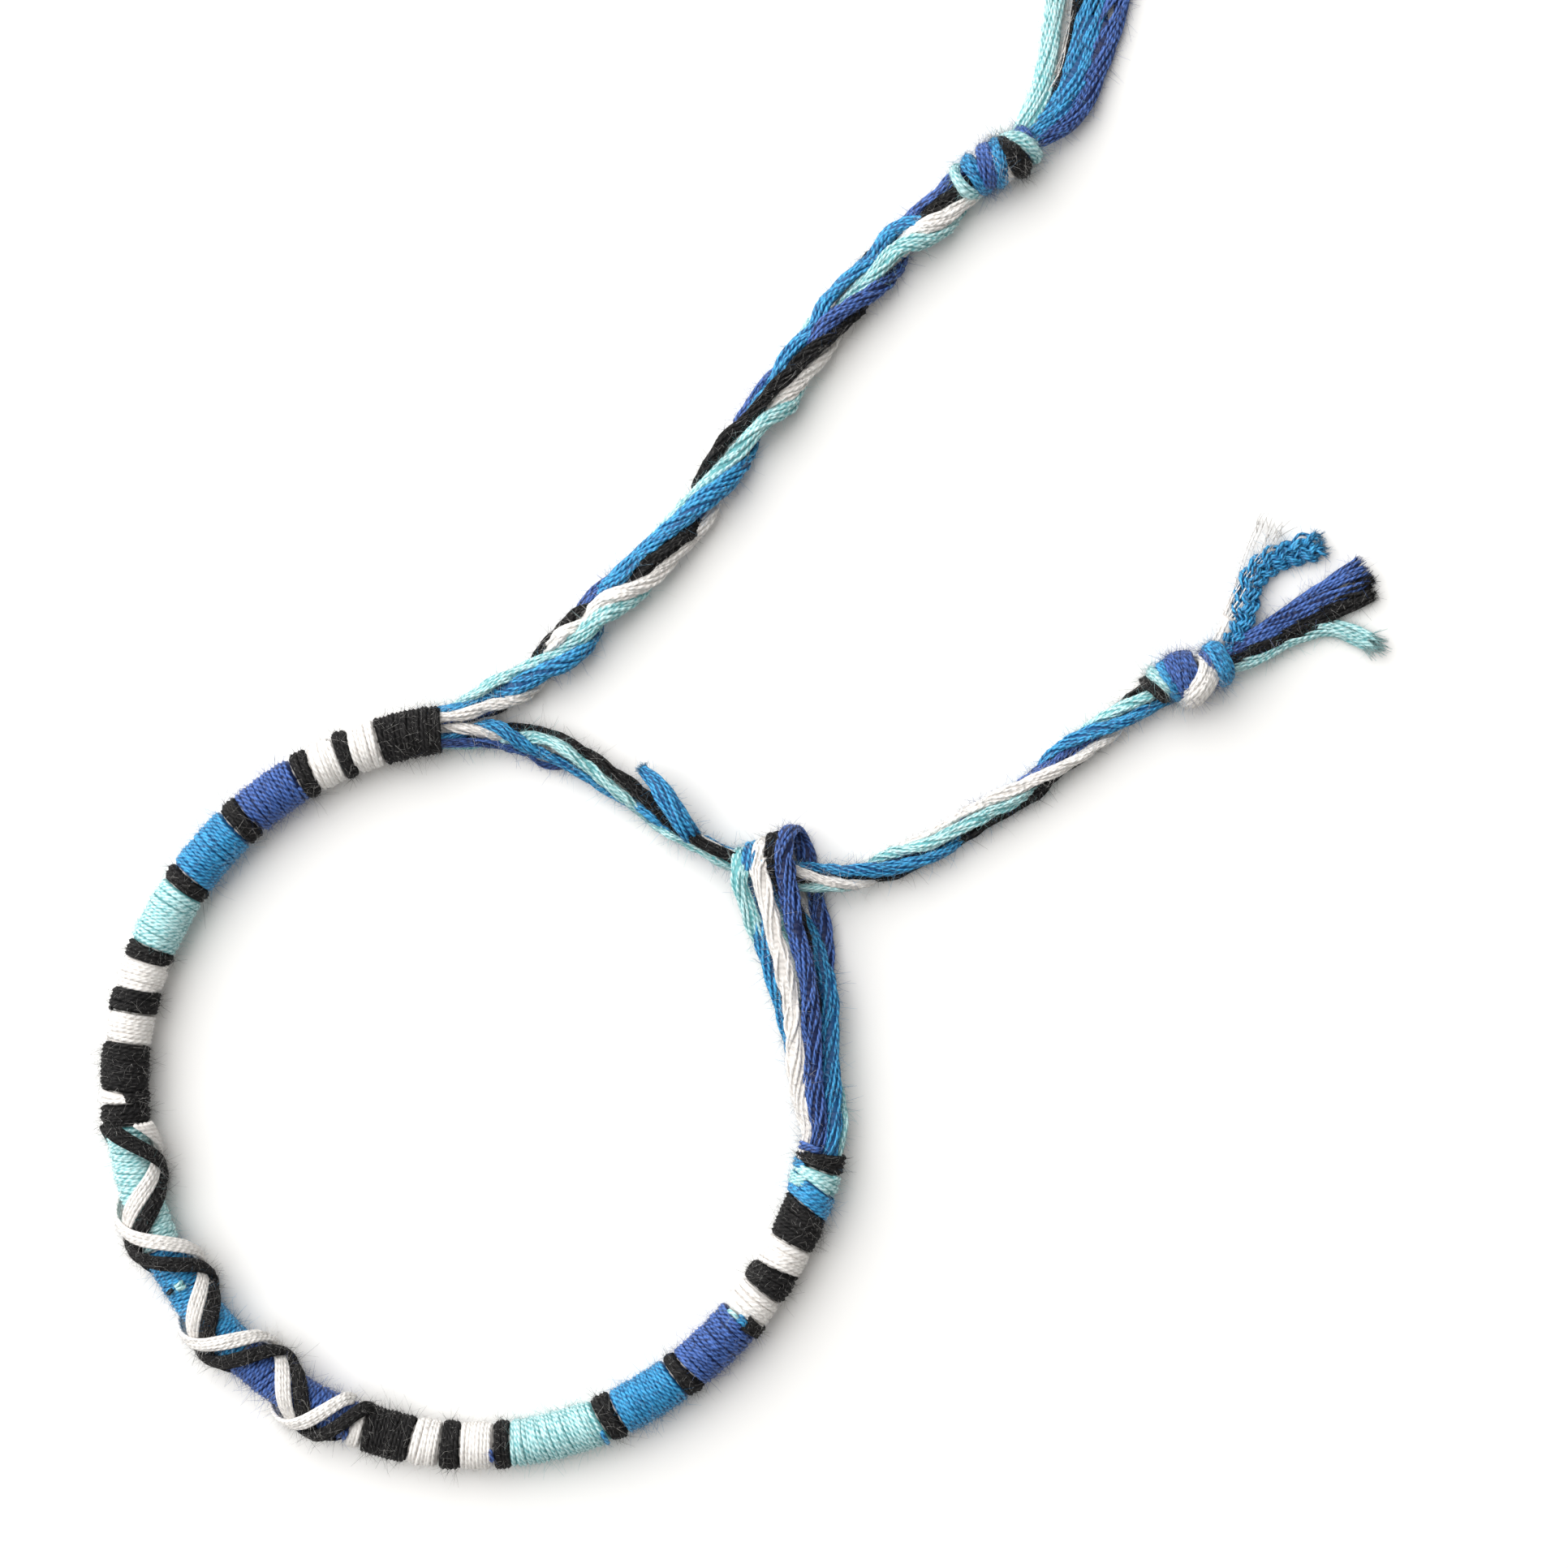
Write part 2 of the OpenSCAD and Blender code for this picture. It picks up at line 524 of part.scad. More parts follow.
// A knot of three turns round the tail's end, with the tassel's locks fused to it
module knot_tassel(at, tail_heading, heading, locks) {
  knot_z = knot_w / 2;
  turn_r = turn_share * knot_w;
  entry = at + (tail_end + gap) * dir(tail_heading) + [0, 0, tail_z];
  start = at + [0, 0, knot_z];
  end = start + knot_len * dir(heading);
  root = end - turn_r * dir(heading);
  // The tail's flosses end on a flat face
  hull() {
    translate(entry) rotate([0, 90, tail_heading]) cylinder(h = turn_r, r = entry_share * tail_z, $fn = 12);
    translate(start + KNOT_TURNS[0][0] * knot_len * dir(heading)) sphere(turn_r, $fn = sides);
  }
  hull() {
    translate(start + KNOT_TURNS[0][0] * knot_len * dir(heading)) sphere(turn_r, $fn = sides);
    translate(root) sphere(turn_r, $fn = sides);
  }
  for (row = KNOT_TURNS)
    translate(start + knot_len * row[0] * dir(heading))
      rotate([0, row[2], heading + row[1]])
        rotate([0, 90, 0])
          rotate_extrude($fn = 12)
            translate([row[3] * knot_w / 2 - turn_r, 0])
              circle(turn_r, $fn = sides);
  for (row = locks) {
    lock_r = row[4] * lock_d / 2;
    tips = [for (c = [1 : 3]) along(flat(end), heading, tassel_len, row[c])];
    lock([root, tips[0] + [0, 0, mix(lock_r, knot_z, LOCK_RISE[0])],
      tips[1] + [0, 0, mix(lock_r, knot_z, LOCK_RISE[1])],
      tips[2] + [0, 0, lock_r]], lock_r);
  }
}
upper_end_heading = let (h = heading_of(upper_line, tail_rings)) atan2(h[1], h[0]);
lower_end_heading = let (h = heading_of(lower_line, tail_rings)) atan2(h[1], h[0]);
module upper_knot_tassel()
  color(paint("blue"))
    knot_tassel(upper_knot_at, upper_end_heading, UPPER_KNOT_HEADING, UPPER_LOCKS);
module lower_knot_tassel()
  color(paint("navy"))
    knot_tassel(lower_knot_at, lower_end_heading, LOWER_KNOT_HEADING, LOWER_LOCKS);

core();
for (i = [0 : len(WRAPS) - 1])
  wrap(i);
for (i = [0 : len(LACES) - 1])
  lace(i);
for (i = [0 : len(LOOP) - 1])
  loop(i);
for (i = [0 : len(TAIL) - 1])
  upper_tail(i);
for (i = [0 : len(TAIL) - 1])
  lower_tail(i);
upper_knot_tassel();
lower_knot_tassel();
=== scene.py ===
import math

import bpy
import numpy as np
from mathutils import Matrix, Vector


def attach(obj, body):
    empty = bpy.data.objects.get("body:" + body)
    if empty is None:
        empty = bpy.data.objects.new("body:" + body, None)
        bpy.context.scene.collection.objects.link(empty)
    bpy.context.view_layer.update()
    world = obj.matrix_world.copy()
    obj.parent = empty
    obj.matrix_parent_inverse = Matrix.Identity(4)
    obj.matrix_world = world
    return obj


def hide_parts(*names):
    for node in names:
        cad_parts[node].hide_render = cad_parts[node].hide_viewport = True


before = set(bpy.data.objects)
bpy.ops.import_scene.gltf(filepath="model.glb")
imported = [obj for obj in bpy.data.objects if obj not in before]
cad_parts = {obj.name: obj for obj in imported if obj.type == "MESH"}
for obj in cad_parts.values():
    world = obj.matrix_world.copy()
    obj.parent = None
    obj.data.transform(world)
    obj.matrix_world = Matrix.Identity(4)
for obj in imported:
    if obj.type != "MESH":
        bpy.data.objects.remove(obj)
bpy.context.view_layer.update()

# Every length below is in millimetres, and the meshes are made in metres
MM = 0.001
rng = np.random.default_rng(11)

# Main sizes, as in the CAD
ring_r = 33.6
wrap_d = 4.7
core_d = 3.0
gap = 0.05
lace_pitch = 11.3
lace_w = 1.6
lace_t = 0.38
lace_gap = 0.09
squash = 0.4
tail_floss_d = 1.25
loop_floss_d = 1.05
twist_r = 1.25
knot_len = 9.0
knot_w = 5.4
tassel_len = 16.4
lock_d = 2.1

# The ring's three arcs. Columns: turn in degrees, radius as a share of ring_r
ARCS = [[153.9, 1.010], [45.1, 0.922], [52.2, 1.056]]
MOUTH_ANGLE, MOUTH_SHARE, MOUTH_HEADING, MOUTH_LEAN = 95.6, 1.028, 186.8, -0.08

# The wrapping, band by band. Columns: colour, share of the wrapped length, lean of the far end as a share
# of wrap_d, diameter as a share of wrap_d
WRAPS = [
    ["black", 41, 0, 1], ["white", 18, -0.06, 0.99], ["black", 9.5, -0.01, 1.02],
    ["white", 18, -0.10, 0.98], ["black", 11, -0.04, 1], ["navy", 39, 0, 0.97], ["black", 12, 0, 1],
    ["blue", 42, -0.06, 0.98], ["black", 10, -0.01, 1], ["aqua", 41, 0, 0.98], ["black", 9.5, 0.09, 1],
    ["white", 19, 0.10, 0.97], ["black", 15, 0.04, 1.01], ["white", 20, -0.02, 0.98],
    ["black", 31.5, -0.22, 0.99], ["white", 6.5, 0.02, 0.98], ["black", 14.5, 0, 1],
    ["aqua", 81, 0, 0.85], ["blue", 85, 0, 0.85], ["navy", 84, 0, 0.85],
    ["white", 7.5, 0.12, 0.98], ["black", 31.5, -0.06, 0.99], ["white", 18.5, -0.01, 0.98],
    ["black", 13, 0.04, 1.01], ["white", 21, -0.04, 0.98], ["black", 11, -0.02, 1],
    ["aqua", 59.5, 0.16, 0.97], ["black", 12, 0.06, 1.01], ["blue", 43, 0.06, 0.98],
    ["black", 10, 0.15, 1], ["navy", 47, -0.02, 0.98], ["white", 21.5, -0.04, 0.98],
    ["black", 17, 0.14, 1.01], ["white", 18, -0.01, 0.97], ["black", 26, -0.30, 0.98],
    ["blue", 15, -0.36, 1.02], ["aqua", 9.5, -0.10, 1.04], ["black", 11, 0.07, 1.02],
]
FIRST_UNDER, LAST_UNDER = 17, 19

# The laces. Columns: name, colour, side that it runs to over the top, how far on it passes the top as a
# share of lace_pitch, layer, room for it as a share of lace_pitch
LACES = [
    ["lace_under_white", "white", -1, 0.64, 0, 0.17],
    ["lace_under_black", "black", -1, 0.815, 0, 0.17],
    ["lace_over_white", "white", 1, 0.00, 1, 0.19],
    ["lace_over_black", "black", 1, 0.195, 1, 0.19],
]

# Chosen points of the routes. Columns: share of the straight length along it, share of it to its left
UPPER_ROUTE = [[0.035, -0.014], [0.086, -0.025], [0.177, -0.045], [0.264, -0.044], [0.347, -0.048],
               [0.432, -0.042], [0.514, -0.031], [0.604, -0.019], [0.691, -0.005], [0.791, 0.003],
               [0.888, 0.004], [0.956, 0.001]]
LOWER_ROUTE_TO_LOOP = [[0.078, 0.032], [0.167, 0.064], [0.286, 0.080], [0.424, 0.074], [0.584, 0.052],
                       [0.733, 0.022], [0.868, -0.006]]
LOWER_ROUTE_PAST_LOOP = [[0.083, -0.055], [0.168, -0.096], [0.281, -0.117], [0.408, -0.112],
                         [0.544, -0.088], [0.684, -0.062], [0.840, -0.032]]
LOOP_ROUTE = [[0.100, -0.045], [0.262, -0.061], [0.487, -0.084], [0.663, -0.068], [0.843, -0.035]]
upper_reach, upper_heading = 70.5, 46.1
lower_reach, lower_heading = 39.8, 23.5
loop_reach, loop_heading = 27.4, 102.2

# The locks of each tassel. Columns: colour, chosen points and the end as shares of tassel_len along the
# knot's direction and to its left, width at the knot and at the tip, count of strands, how it ends
UPPER_LOCKS = [
    ["aqua", [[0.10, 0.15], [0.29, 0.31], [0.62, 0.66]], 2.4, 1.8, 16, "plain"],
    ["white", [[0.12, 0.12], [0.36, 0.27], [0.70, 0.60]], 0.9, 0.9, 5, "wisp"],
    ["black", [[0.14, 0.09], [0.38, 0.25], [0.75, 0.60]], 0.8, 0.9, 6, "plain"],
    ["blue", [[0.20, 0.05], [0.46, 0.21], [0.82, 0.565]], 2.5, 3.2, 24, "plain"],
    ["navy", [[0.21, -0.03], [0.50, 0.125], [0.93, 0.44]], 1.9, 2.7, 19, "plain"],
]
LOWER_LOCKS = [
    ["white", [[0.03, 0.16], [0.27, 0.36], [0.54, 0.56]], 1.6, 1.7, 9, "wisp"],
    ["blue", [[0.09, 0.11], [0.31, 0.34], [0.515, 0.385], [0.76, 0.335]], 2.5, 2.9, 21, "chain"],
    ["navy", [[0.22, 0.03], [0.46, 0.05], [0.91, 0.10]], 2.0, 2.6, 20, "plain"],
    ["black", [[0.20, -0.01], [0.45, -0.02], [0.93, -0.01]], 1.7, 2.3, 17, "plain"],
    ["aqua", [[0.10, -0.06], [0.34, -0.06], [0.57, -0.11], [0.775, -0.31]], 1.8, 1.7, 13, "frayed"],
]
UPPER_KNOT_HEADING, LOWER_KNOT_HEADING = 36, 27
# The turns of each knot. Columns: colour, share of knot_len along it, tilt to its left, tilt up, diameter
# as a share of knot_w, width of the band, place to the left of the knot's middle
UPPER_KNOT = [
    ["aqua", 0.09, 4, 32, 0.86, 1.2, 0.3],
    ["blue", 0.22, -4, 12, 0.92, 1.4, 0.3],
    ["navy", 0.34, -36, 0, 1.02, 2.0, 0.3],
    ["blue", 0.47, -28, 0, 1.02, 1.5, 0],
    ["white", 0.44, 12, 0, 0.93, 1.6, 0.1],
    ["black", 0.62, 6, 0, 0.98, 2.1, -0.3],
    ["aqua", 0.75, 28, -18, 0.94, 1.4, -0.1],
    ["navy", 0.84, 0, 0, 0.72, 1.6, 0],
]
LOWER_KNOT = [
    ["black", 0.12, 30, 8, 0.76, 1.2, 0.5],
    ["aqua", 0.22, 24, 6, 0.86, 1.2, 0.7],
    ["blue", 0.30, 4, 12, 0.94, 1.5, 0.5],
    ["navy", 0.42, -14, 4, 1.03, 3.2, 0.45],
    ["white", 0.52, -60, -20, 1.12, 2.6, -0.5],
    ["blue", 0.80, -6, -16, 0.95, 1.9, 0],
    ["navy", 0.72, -6, 0, 0.8, 1.4, 0],
]

# The wrapping's thread: pitch, radius, points of one turn and length in which its plies turn once
thread_pitch = 0.4
thread_r = 0.225
coil_steps = 23
ply_pitch = 1.3
# Lean of the thread in the middle of the long bands, beyond that of their ends
WRAP_SLOPE = {17: -1.3, 18: -1.5, 19: -1.3, 26: 0.5}
# Sides of a strand, of the filler inside a floss and of the sleeve inside a band
strand_sides = 5
filler_sides = 10
sleeve_sides = 32
# Lowest heights above the surface, for the middles of all but the fillers
filler_low, strand_low, lace_low, knot_low, fibre_low = 0.1, 0.15, 0.12, 0.2, 0.03
# Stray fibres: points along one, half its width, its shortest and its longest reach
fuzz_steps = 3
fuzz_r = 0.013
FUZZ_REACH = (0.2, 1.6)
# Tints outside the usual 0 to 1: a pale fibre, and a filler that gets the grooves' painted shade
PALE_FIBRE = 2.0
PAINTED_SHADE_TINT = -3.0
# How far a tail's or the loop's floss runs on inside the wrapping
tuck_in = 1.2


# Plain functions
def direction(degrees):
    a = np.radians(degrees)
    return np.stack([np.cos(a), np.sin(a), np.zeros_like(a)], axis=-1)


def unit(v):
    return v / np.linalg.norm(v, axis=-1, keepdims=True)


def mix(a, b, t):
    return a + (b - a) * t


def smooth(t):
    u = np.clip(t, 0, 1)
    return u * u * (3 - 2 * u)


def column(values):
    """Numbers as a column, which multiplies a list of points."""
    return np.asarray(values, float)[:, None]


UP = np.array([0.0, 0.0, 1.0])


def along(start, heading, reach, share):
    return start + reach * (share[0] * direction(heading) + share[1] * direction(heading + 90))


def spline(points, count):
    """A smooth line of count + 1 points through the given ones."""
    p = np.asarray(points, float)
    last = len(p) - 1
    t = np.linspace(0, last, count + 1)
    i = np.minimum(t.astype(int), last - 1)
    f = column(t - i)
    a, b, c, d = p[np.maximum(i - 1, 0)], p[i], p[i + 1], p[np.minimum(i + 2, last)]
    return 0.5 * (2 * b + (c - a) * f + (2 * a - 5 * b + 4 * c - d) * f ** 2
                  + (3 * b - a - 3 * c + d) * f ** 3)


def lengths(line):
    return np.concatenate([[0], np.cumsum(np.linalg.norm(np.diff(line, axis=0), axis=1))])


def evenly(points, count):
    """A smooth line through points, laid out evenly by length."""
    fine = spline(points, 8 * count)
    s = lengths(fine)
    at = np.linspace(0, s[-1], count + 1)
    return np.stack([np.interp(at, s, fine[:, c]) for c in range(3)], axis=1)


def heading_of(line):
    return unit(np.gradient(line, axis=0))


def left_of(line):
    h = heading_of(line)
    return unit(np.stack([-h[:, 1], h[:, 0], np.zeros(len(h))], axis=1))


def wander(s, wavelength, size):
    """A smooth random number along the lengths s."""
    value = np.zeros(len(s))
    for _ in range(3):
        wave = wavelength * rng.uniform(0.6, 1.7)
        value += np.sin(2 * np.pi * (s / wave + rng.uniform())) * rng.uniform(0.4, 1)
    return value * size / 1.2


def square_to(h, side):
    """The side directions, made square to the headings."""
    return unit(side - (side * h).sum(axis=1, keepdims=True) * h)


def oval_rings(line, a, b, half_a, half_b, sides):
    """Rings of points round a line, half_a wide along the directions a and half_b along b."""
    turn = 2 * np.pi * np.arange(sides) / sides
    return (line[:, None] + (column(half_a) * np.cos(turn))[:, :, None] * a[:, None]
            + (column(half_b) * np.sin(turn))[:, :, None] * b[:, None])


def lift(points, low):
    """Raises the points that lie lower than low above the surface, in place."""
    points[..., 2] = np.maximum(points[..., 2], low)


# The cord's path along the arcs
ARC_R = [share * ring_r for turn, share in ARCS]
ARC_LEN = [r * math.radians(arc[0]) for r, arc in zip(ARC_R, ARCS)]
ARC_S = [sum(ARC_LEN[:k]) for k in range(len(ARCS) + 1)]
ARC_HEADING = [MOUTH_HEADING + sum(arc[0] for arc in ARCS[:k]) for k in range(len(ARCS) + 1)]
wrap_len = ARC_S[-1]
mouth = MOUTH_SHARE * ring_r * direction(MOUTH_ANGLE)
ARC_CENTRE = []
arc_start = mouth
for arc, arc_r in enumerate(ARC_R):
    ARC_CENTRE.append(arc_start + arc_r * direction(ARC_HEADING[arc] + 90))
    arc_start = ARC_CENTRE[arc] + arc_r * direction(ARC_HEADING[arc + 1] - 90)
loop_mouth = arc_start


def arc_heading(k, s):
    return ARC_HEADING[k] + np.degrees((s - ARC_S[k]) / ARC_R[k])


def arc_out(k, s):
    return direction(arc_heading(k, s) - 90)


def arc_point(k, s):
    return ARC_CENTRE[k] + ARC_R[k] * arc_out(k, s)


def arc_at(s):
    return 0 if s < ARC_S[1] else 1 if s < ARC_S[2] else 2


under_r = WRAPS[FIRST_UNDER][3] * wrap_d / 2
ring_z = max(wrap_d / 2, under_r + 2 * lace_gap + (1 + squash) * lace_t)
tail_r = tail_floss_d / 2
loop_r = loop_floss_d / 2
share_total = sum(row[1] for row in WRAPS)


def wrap_s(i):
    return wrap_len * sum(row[1] for row in WRAPS[:i]) / share_total


def wrap_lean(i):
    return wrap_d * (MOUTH_LEAN if i == 0 else WRAPS[i - 1][2])


def add(name, data):
    """A new object in the scene."""
    thing = bpy.data.objects.new(name, data)
    bpy.context.scene.collection.objects.link(thing)
    return thing


# Meshes made of threads
class Threads:
    """Threads and skins that become one mesh."""

    def __init__(self, colour):
        self.pale_share = PALE_SHARE[colour]
        self.points, self.faces, self.uvs, self.tints, self.count = [], [], [], [], 0

    def skin(self, rings, tint):
        """A closed tube through rings of points."""
        n, k = rings.shape[:2]
        s = lengths(rings.mean(axis=1))
        i, j = np.meshgrid(np.arange(n - 1), np.arange(k), indexing="ij")
        i, j = i.ravel(), j.ravel()
        after = (j + 1) % k
        self.faces.append(self.count + np.stack(
            [i * k + j, i * k + after, (i + 1) * k + after, (i + 1) * k + j], axis=1))
        self.uvs.append(np.stack([s[i], j / k, s[i], (j + 1) / k, s[i + 1], (j + 1) / k, s[i + 1], j / k],
                                 axis=1).reshape(-1, 2))
        caps = np.stack([np.arange(k)[::-1], (n - 1) * k + np.arange(k)])
        self.faces.append(self.count + caps)
        self.uvs.append(np.stack([s[[0, -1]].repeat(k), caps.ravel() % k / k], axis=1))
        self.points.append(rings.reshape(-1, 3))
        self.tints.append(np.full(n * k, tint))
        self.count += n * k

    def thread(self, line, radius, side, sides=strand_sides, tint=None):
        """A round thread along a line, whose rings start at the side directions."""
        h = heading_of(line)
        a = square_to(h, side)
        radius = np.broadcast_to(radius, len(line))
        rings = oval_rings(line, a, np.cross(h, a), radius, radius, sides)
        self.skin(rings, rng.uniform() if tint is None else tint)

    def fuzz(self, points, outward, count):
        """Stray fibres, thin ribbons that stand off the given points of a surface."""
        if not count:
            return
        pick = rng.integers(0, len(points), count)
        way = unit(outward[pick] * rng.uniform(0.05, 0.8, (count, 1)) + unit(rng.normal(0, 1, (count, 3))))
        curl = unit(rng.normal(0, 1, (count, 3))) * rng.uniform(0.2, 0.9, (count, 1))
        reach = mix(*FUZZ_REACH, rng.uniform(0, 1, (count, 1, 1)) ** 1.8)
        t = np.linspace(0, 1, fuzz_steps)[None, :, None]
        fibres = points[pick][:, None] + reach * (t * way[:, None] + t ** 2 * curl[:, None])
        lift(fibres, fuzz_r)
        across = unit(np.cross(way, curl + [0.01, 0.02, 0.03]))
        edges = np.stack([across, -across], axis=1)[:, None]
        ribbons = fibres[:, :, None] + fuzz_r * (1 - 0.6 * t)[..., None] * edges
        fibre, step = np.meshgrid(np.arange(count), np.arange(fuzz_steps - 1), indexing="ij")
        first = (fibre * fuzz_steps + step).ravel() * 2
        self.faces.append(self.count + np.stack([first, first + 1, first + 3, first + 2], axis=1))
        self.uvs.append(np.tile([0.0, 0.0, 0.0, 0.3, 0.3, 0.3, 0.3, 0.0], (len(first), 1)).reshape(-1, 2))
        self.points.append(ribbons.reshape(-1, 3))
        is_pale = rng.uniform(size=count) < self.pale_share
        tints = np.where(is_pale, PALE_FIBRE, rng.uniform(0, 1, count))
        self.tints.append(tints.repeat(fuzz_steps * 2))
        self.count += count * fuzz_steps * 2

    def piece(self, name, colour, *nodes):
        """The mesh as an object on the root body, in place of the CAD nodes, which it hides."""
        mesh = bpy.data.meshes.new(name)
        points = np.concatenate(self.points) * MM
        faces = [f for f in self.faces if len(f)]
        corners = np.concatenate([f.ravel() for f in faces])
        sizes = np.concatenate([np.full(len(f), f.shape[1]) for f in faces])
        mesh.vertices.add(len(points))
        mesh.vertices.foreach_set("co", points.ravel())
        mesh.loops.add(len(corners))
        mesh.loops.foreach_set("vertex_index", corners)
        mesh.polygons.add(len(sizes))
        mesh.polygons.foreach_set("loop_start", np.concatenate([[0], np.cumsum(sizes)[:-1]]))
        mesh.polygons.foreach_set("use_smooth", np.ones(len(sizes), bool))
        mesh.update(calc_edges=True)
        uvs = mesh.uv_layers.new(name="thread")
        uvs.data.foreach_set("uv", np.concatenate(self.uvs).ravel())
        tint = mesh.attributes.new("tint", "FLOAT", "POINT")
        tint.data.foreach_set("value", np.concatenate(self.tints))
        mesh.validate()
        mesh.materials.append(MATERIALS[colour])
        thing = add(name, mesh)
        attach(thing, "root")
        if nodes:
            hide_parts(*nodes)


# Materials
def linear(srgb):
    c = np.asarray(srgb, float) / 255
    return [*np.where(c <= 0.04045, c / 12.92, ((c + 0.055) / 1.055) ** 2.4), 1.0]


# Columns: colours of the grooves, a dark tone that is mostly painted shade, of the crests, a light tone that
# is partly painted highlight, of the sheen and of the pale fibres, then sheen, gloss and roughness
COTTON = {
    "black": [(2, 2, 3), (42, 41, 41), (110, 110, 112), (178, 176, 172), 0.05, 0.25, 0.9],
    "navy": [(6, 26, 72), (80, 118, 194), (130, 160, 220), (140, 155, 205), 0.06, 0.45, 0.55],
    "blue": [(0, 72, 122), (70, 174, 228), (150, 210, 240), (150, 200, 232), 0.05, 0.45, 0.5],
    "aqua": [(98, 170, 174), (211, 245, 245), (225, 248, 248), (225, 243, 243), 0.1, 0.45, 0.55],
    "white": [(226, 221, 216), (246, 243, 239), (255, 255, 255), (255, 255, 255), 0.2, 0.45, 0.6],
}
# The share of its stray fibres that are pale
PALE_SHARE = {"black": 0.55, "navy": 0.35, "blue": 0.35, "aqua": 0.35, "white": 0.35}
# Scales of the noise, and of the streaks along a strand, round it and from strand to strand
fine_scale, broad_scale = 2600, 260
streaks_along, streaks_round, streaks_apart = 1.2, 2.2, 60
# How much each pattern takes the colour from the grooves' to the crests', and where that starts. The crown
# paints highlight on each strand's outer side and shade on its inner side, and the ply paints shade in the
# creases between plies
LIGHTENING = {"streaks": 2.7, "fine": 0.5, "broad": 0.3, "tint": 0.25, "crown": 0.22, "ply": 0.75}
lightening_start = -1.85
bump_depth = 0.07
streaks_height = 2.0


class Shading:
    """The shader nodes of one material."""

    def __init__(self, name):
        self.material = bpy.data.materials.new(name)
        self.material.use_nodes = True
        self.nodes, self.links = self.material.node_tree.nodes, self.material.node_tree.links
        self.shader = self.nodes["Principled BSDF"]

    def feed(self, socket, value):
        """Links a socket to another one, or sets it to a plain value."""
        if isinstance(value, bpy.types.NodeSocket):
            self.links.new(value, socket)
        else:
            socket.default_value = value

    def math(self, operation, *values):
        node = self.nodes.new("ShaderNodeMath")
        node.operation = operation
        for socket, value in zip(node.inputs, values):
            self.feed(socket, value)
        return node.outputs[0]

    def blend(self, share, a, b):
        """A colour that goes from a to b with the share."""
        node = self.nodes.new("ShaderNodeMix")
        node.data_type = "RGBA"
        node.clamp_factor = True
        self.feed(node.inputs["Factor"], share)
        for socket, value in zip([s for s in node.inputs if s.type == "RGBA"], (a, b)):
            self.feed(socket, value)
        return [s for s in node.outputs if s.type == "RGBA"][0]

    def noise(self, vector, scale, detail):
        node = self.nodes.new("ShaderNodeTexNoise")
        node.inputs["Scale"].default_value = scale
        node.inputs["Detail"].default_value = detail
        self.links.new(vector, node.inputs["Vector"])
        return node.outputs["Fac"]

    def patterns(self):
        """What varies over the cotton, by name: noise, the strand's tint, its crown (painted highlight
        outside, painted shade inside), plies and streaks.
        """
        place = self.nodes.new("ShaderNodeTexCoord").outputs["Object"]
        tint = self.nodes.new("ShaderNodeAttribute")
        tint.attribute_name = "tint"
        uv = self.nodes.new("ShaderNodeUVMap")
        uv.uv_map = "thread"
        split = self.nodes.new("ShaderNodeSeparateXYZ")
        self.links.new(uv.outputs["UV"], split.inputs[0])
        around = self.math("MULTIPLY", split.outputs["Y"], 2.0)
        lengthwise = self.math("DIVIDE", split.outputs["X"], ply_pitch / 2)
        wave = self.math("SINE", self.math("MULTIPLY", self.math("ADD", around, lengthwise), 2 * math.pi))
        join = self.nodes.new("ShaderNodeCombineXYZ")
        self.feed(join.inputs["X"], self.math("MULTIPLY", split.outputs["X"], streaks_along))
        self.feed(join.inputs["Y"], self.math("MULTIPLY", around, streaks_round))
        self.feed(join.inputs["Z"], self.math("MULTIPLY", tint.outputs["Fac"], streaks_apart))
        return {
            "fine": self.noise(place, fine_scale, 3),
            "broad": self.noise(place, broad_scale, 2),
            "tint": tint.outputs["Fac"],
            # Painted light and shade: 1 on the strand's outer side, -1 on its inner side
            "crown": self.math("COSINE", self.math("MULTIPLY", split.outputs["Y"], 2 * math.pi)),
            # Its troughs paint shade in the creases between plies; it also drives the bump
            "ply": self.math("ADD", self.math("MULTIPLY", wave, 0.5), 0.5),
            "streaks": self.noise(join.outputs[0], 1.0, 3),
        }


def cotton(name):
    """Mercerised cotton: fine noise, strands of slightly different depth and the lines of their plies, with
    painted shade in the grooves and creases and a painted highlight on each strand's crown.
    """
    groove_shade, crest, sheen_colour, pale_fibres, sheen, gloss, roughness = COTTON[name]
    shading = Shading("cotton_" + name)
    pattern = shading.patterns()
    share = lightening_start
    for kind, weight in LIGHTENING.items():
        share = shading.math("ADD", share, shading.math("MULTIPLY", pattern[kind], weight))
    # The colour runs from the grooves' painted shade to the crests' lighter tone and painted highlight
    colour = shading.blend(share, linear(groove_shade), linear(crest))
    is_pale = shading.math("GREATER_THAN", pattern["tint"], 1.5)
    colour = shading.blend(is_pale, colour, linear(pale_fibres))
    bump = shading.nodes.new("ShaderNodeBump")
    bump.inputs["Strength"].default_value = 0.8
    bump.inputs["Distance"].default_value = bump_depth * MM
    streaks = shading.math("MULTIPLY", pattern["streaks"], streaks_height)
    shading.feed(bump.inputs["Height"], shading.math("ADD", pattern["ply"], streaks))
    finish = {"Base Color": colour, "Normal": bump.outputs["Normal"], "Roughness": roughness,
              "Specular IOR Level": gloss, "Sheen Weight": sheen, "Sheen Roughness": 0.4,
              "Sheen Tint": linear(sheen_colour)}
    for socket, value in finish.items():
        shading.feed(shading.shader.inputs[socket], value)
    return shading.material


MATERIALS = {name: cotton(name) for name in COTTON}


# The wrapping. A band's thread dips at its edges, and its sleeve is shorter and slimmer
edge_dip, edge_dip_len = 0.16, 0.35
sleeve_inset, sleeve_drop, sleeve_step = 0.1, 0.08, 0.8
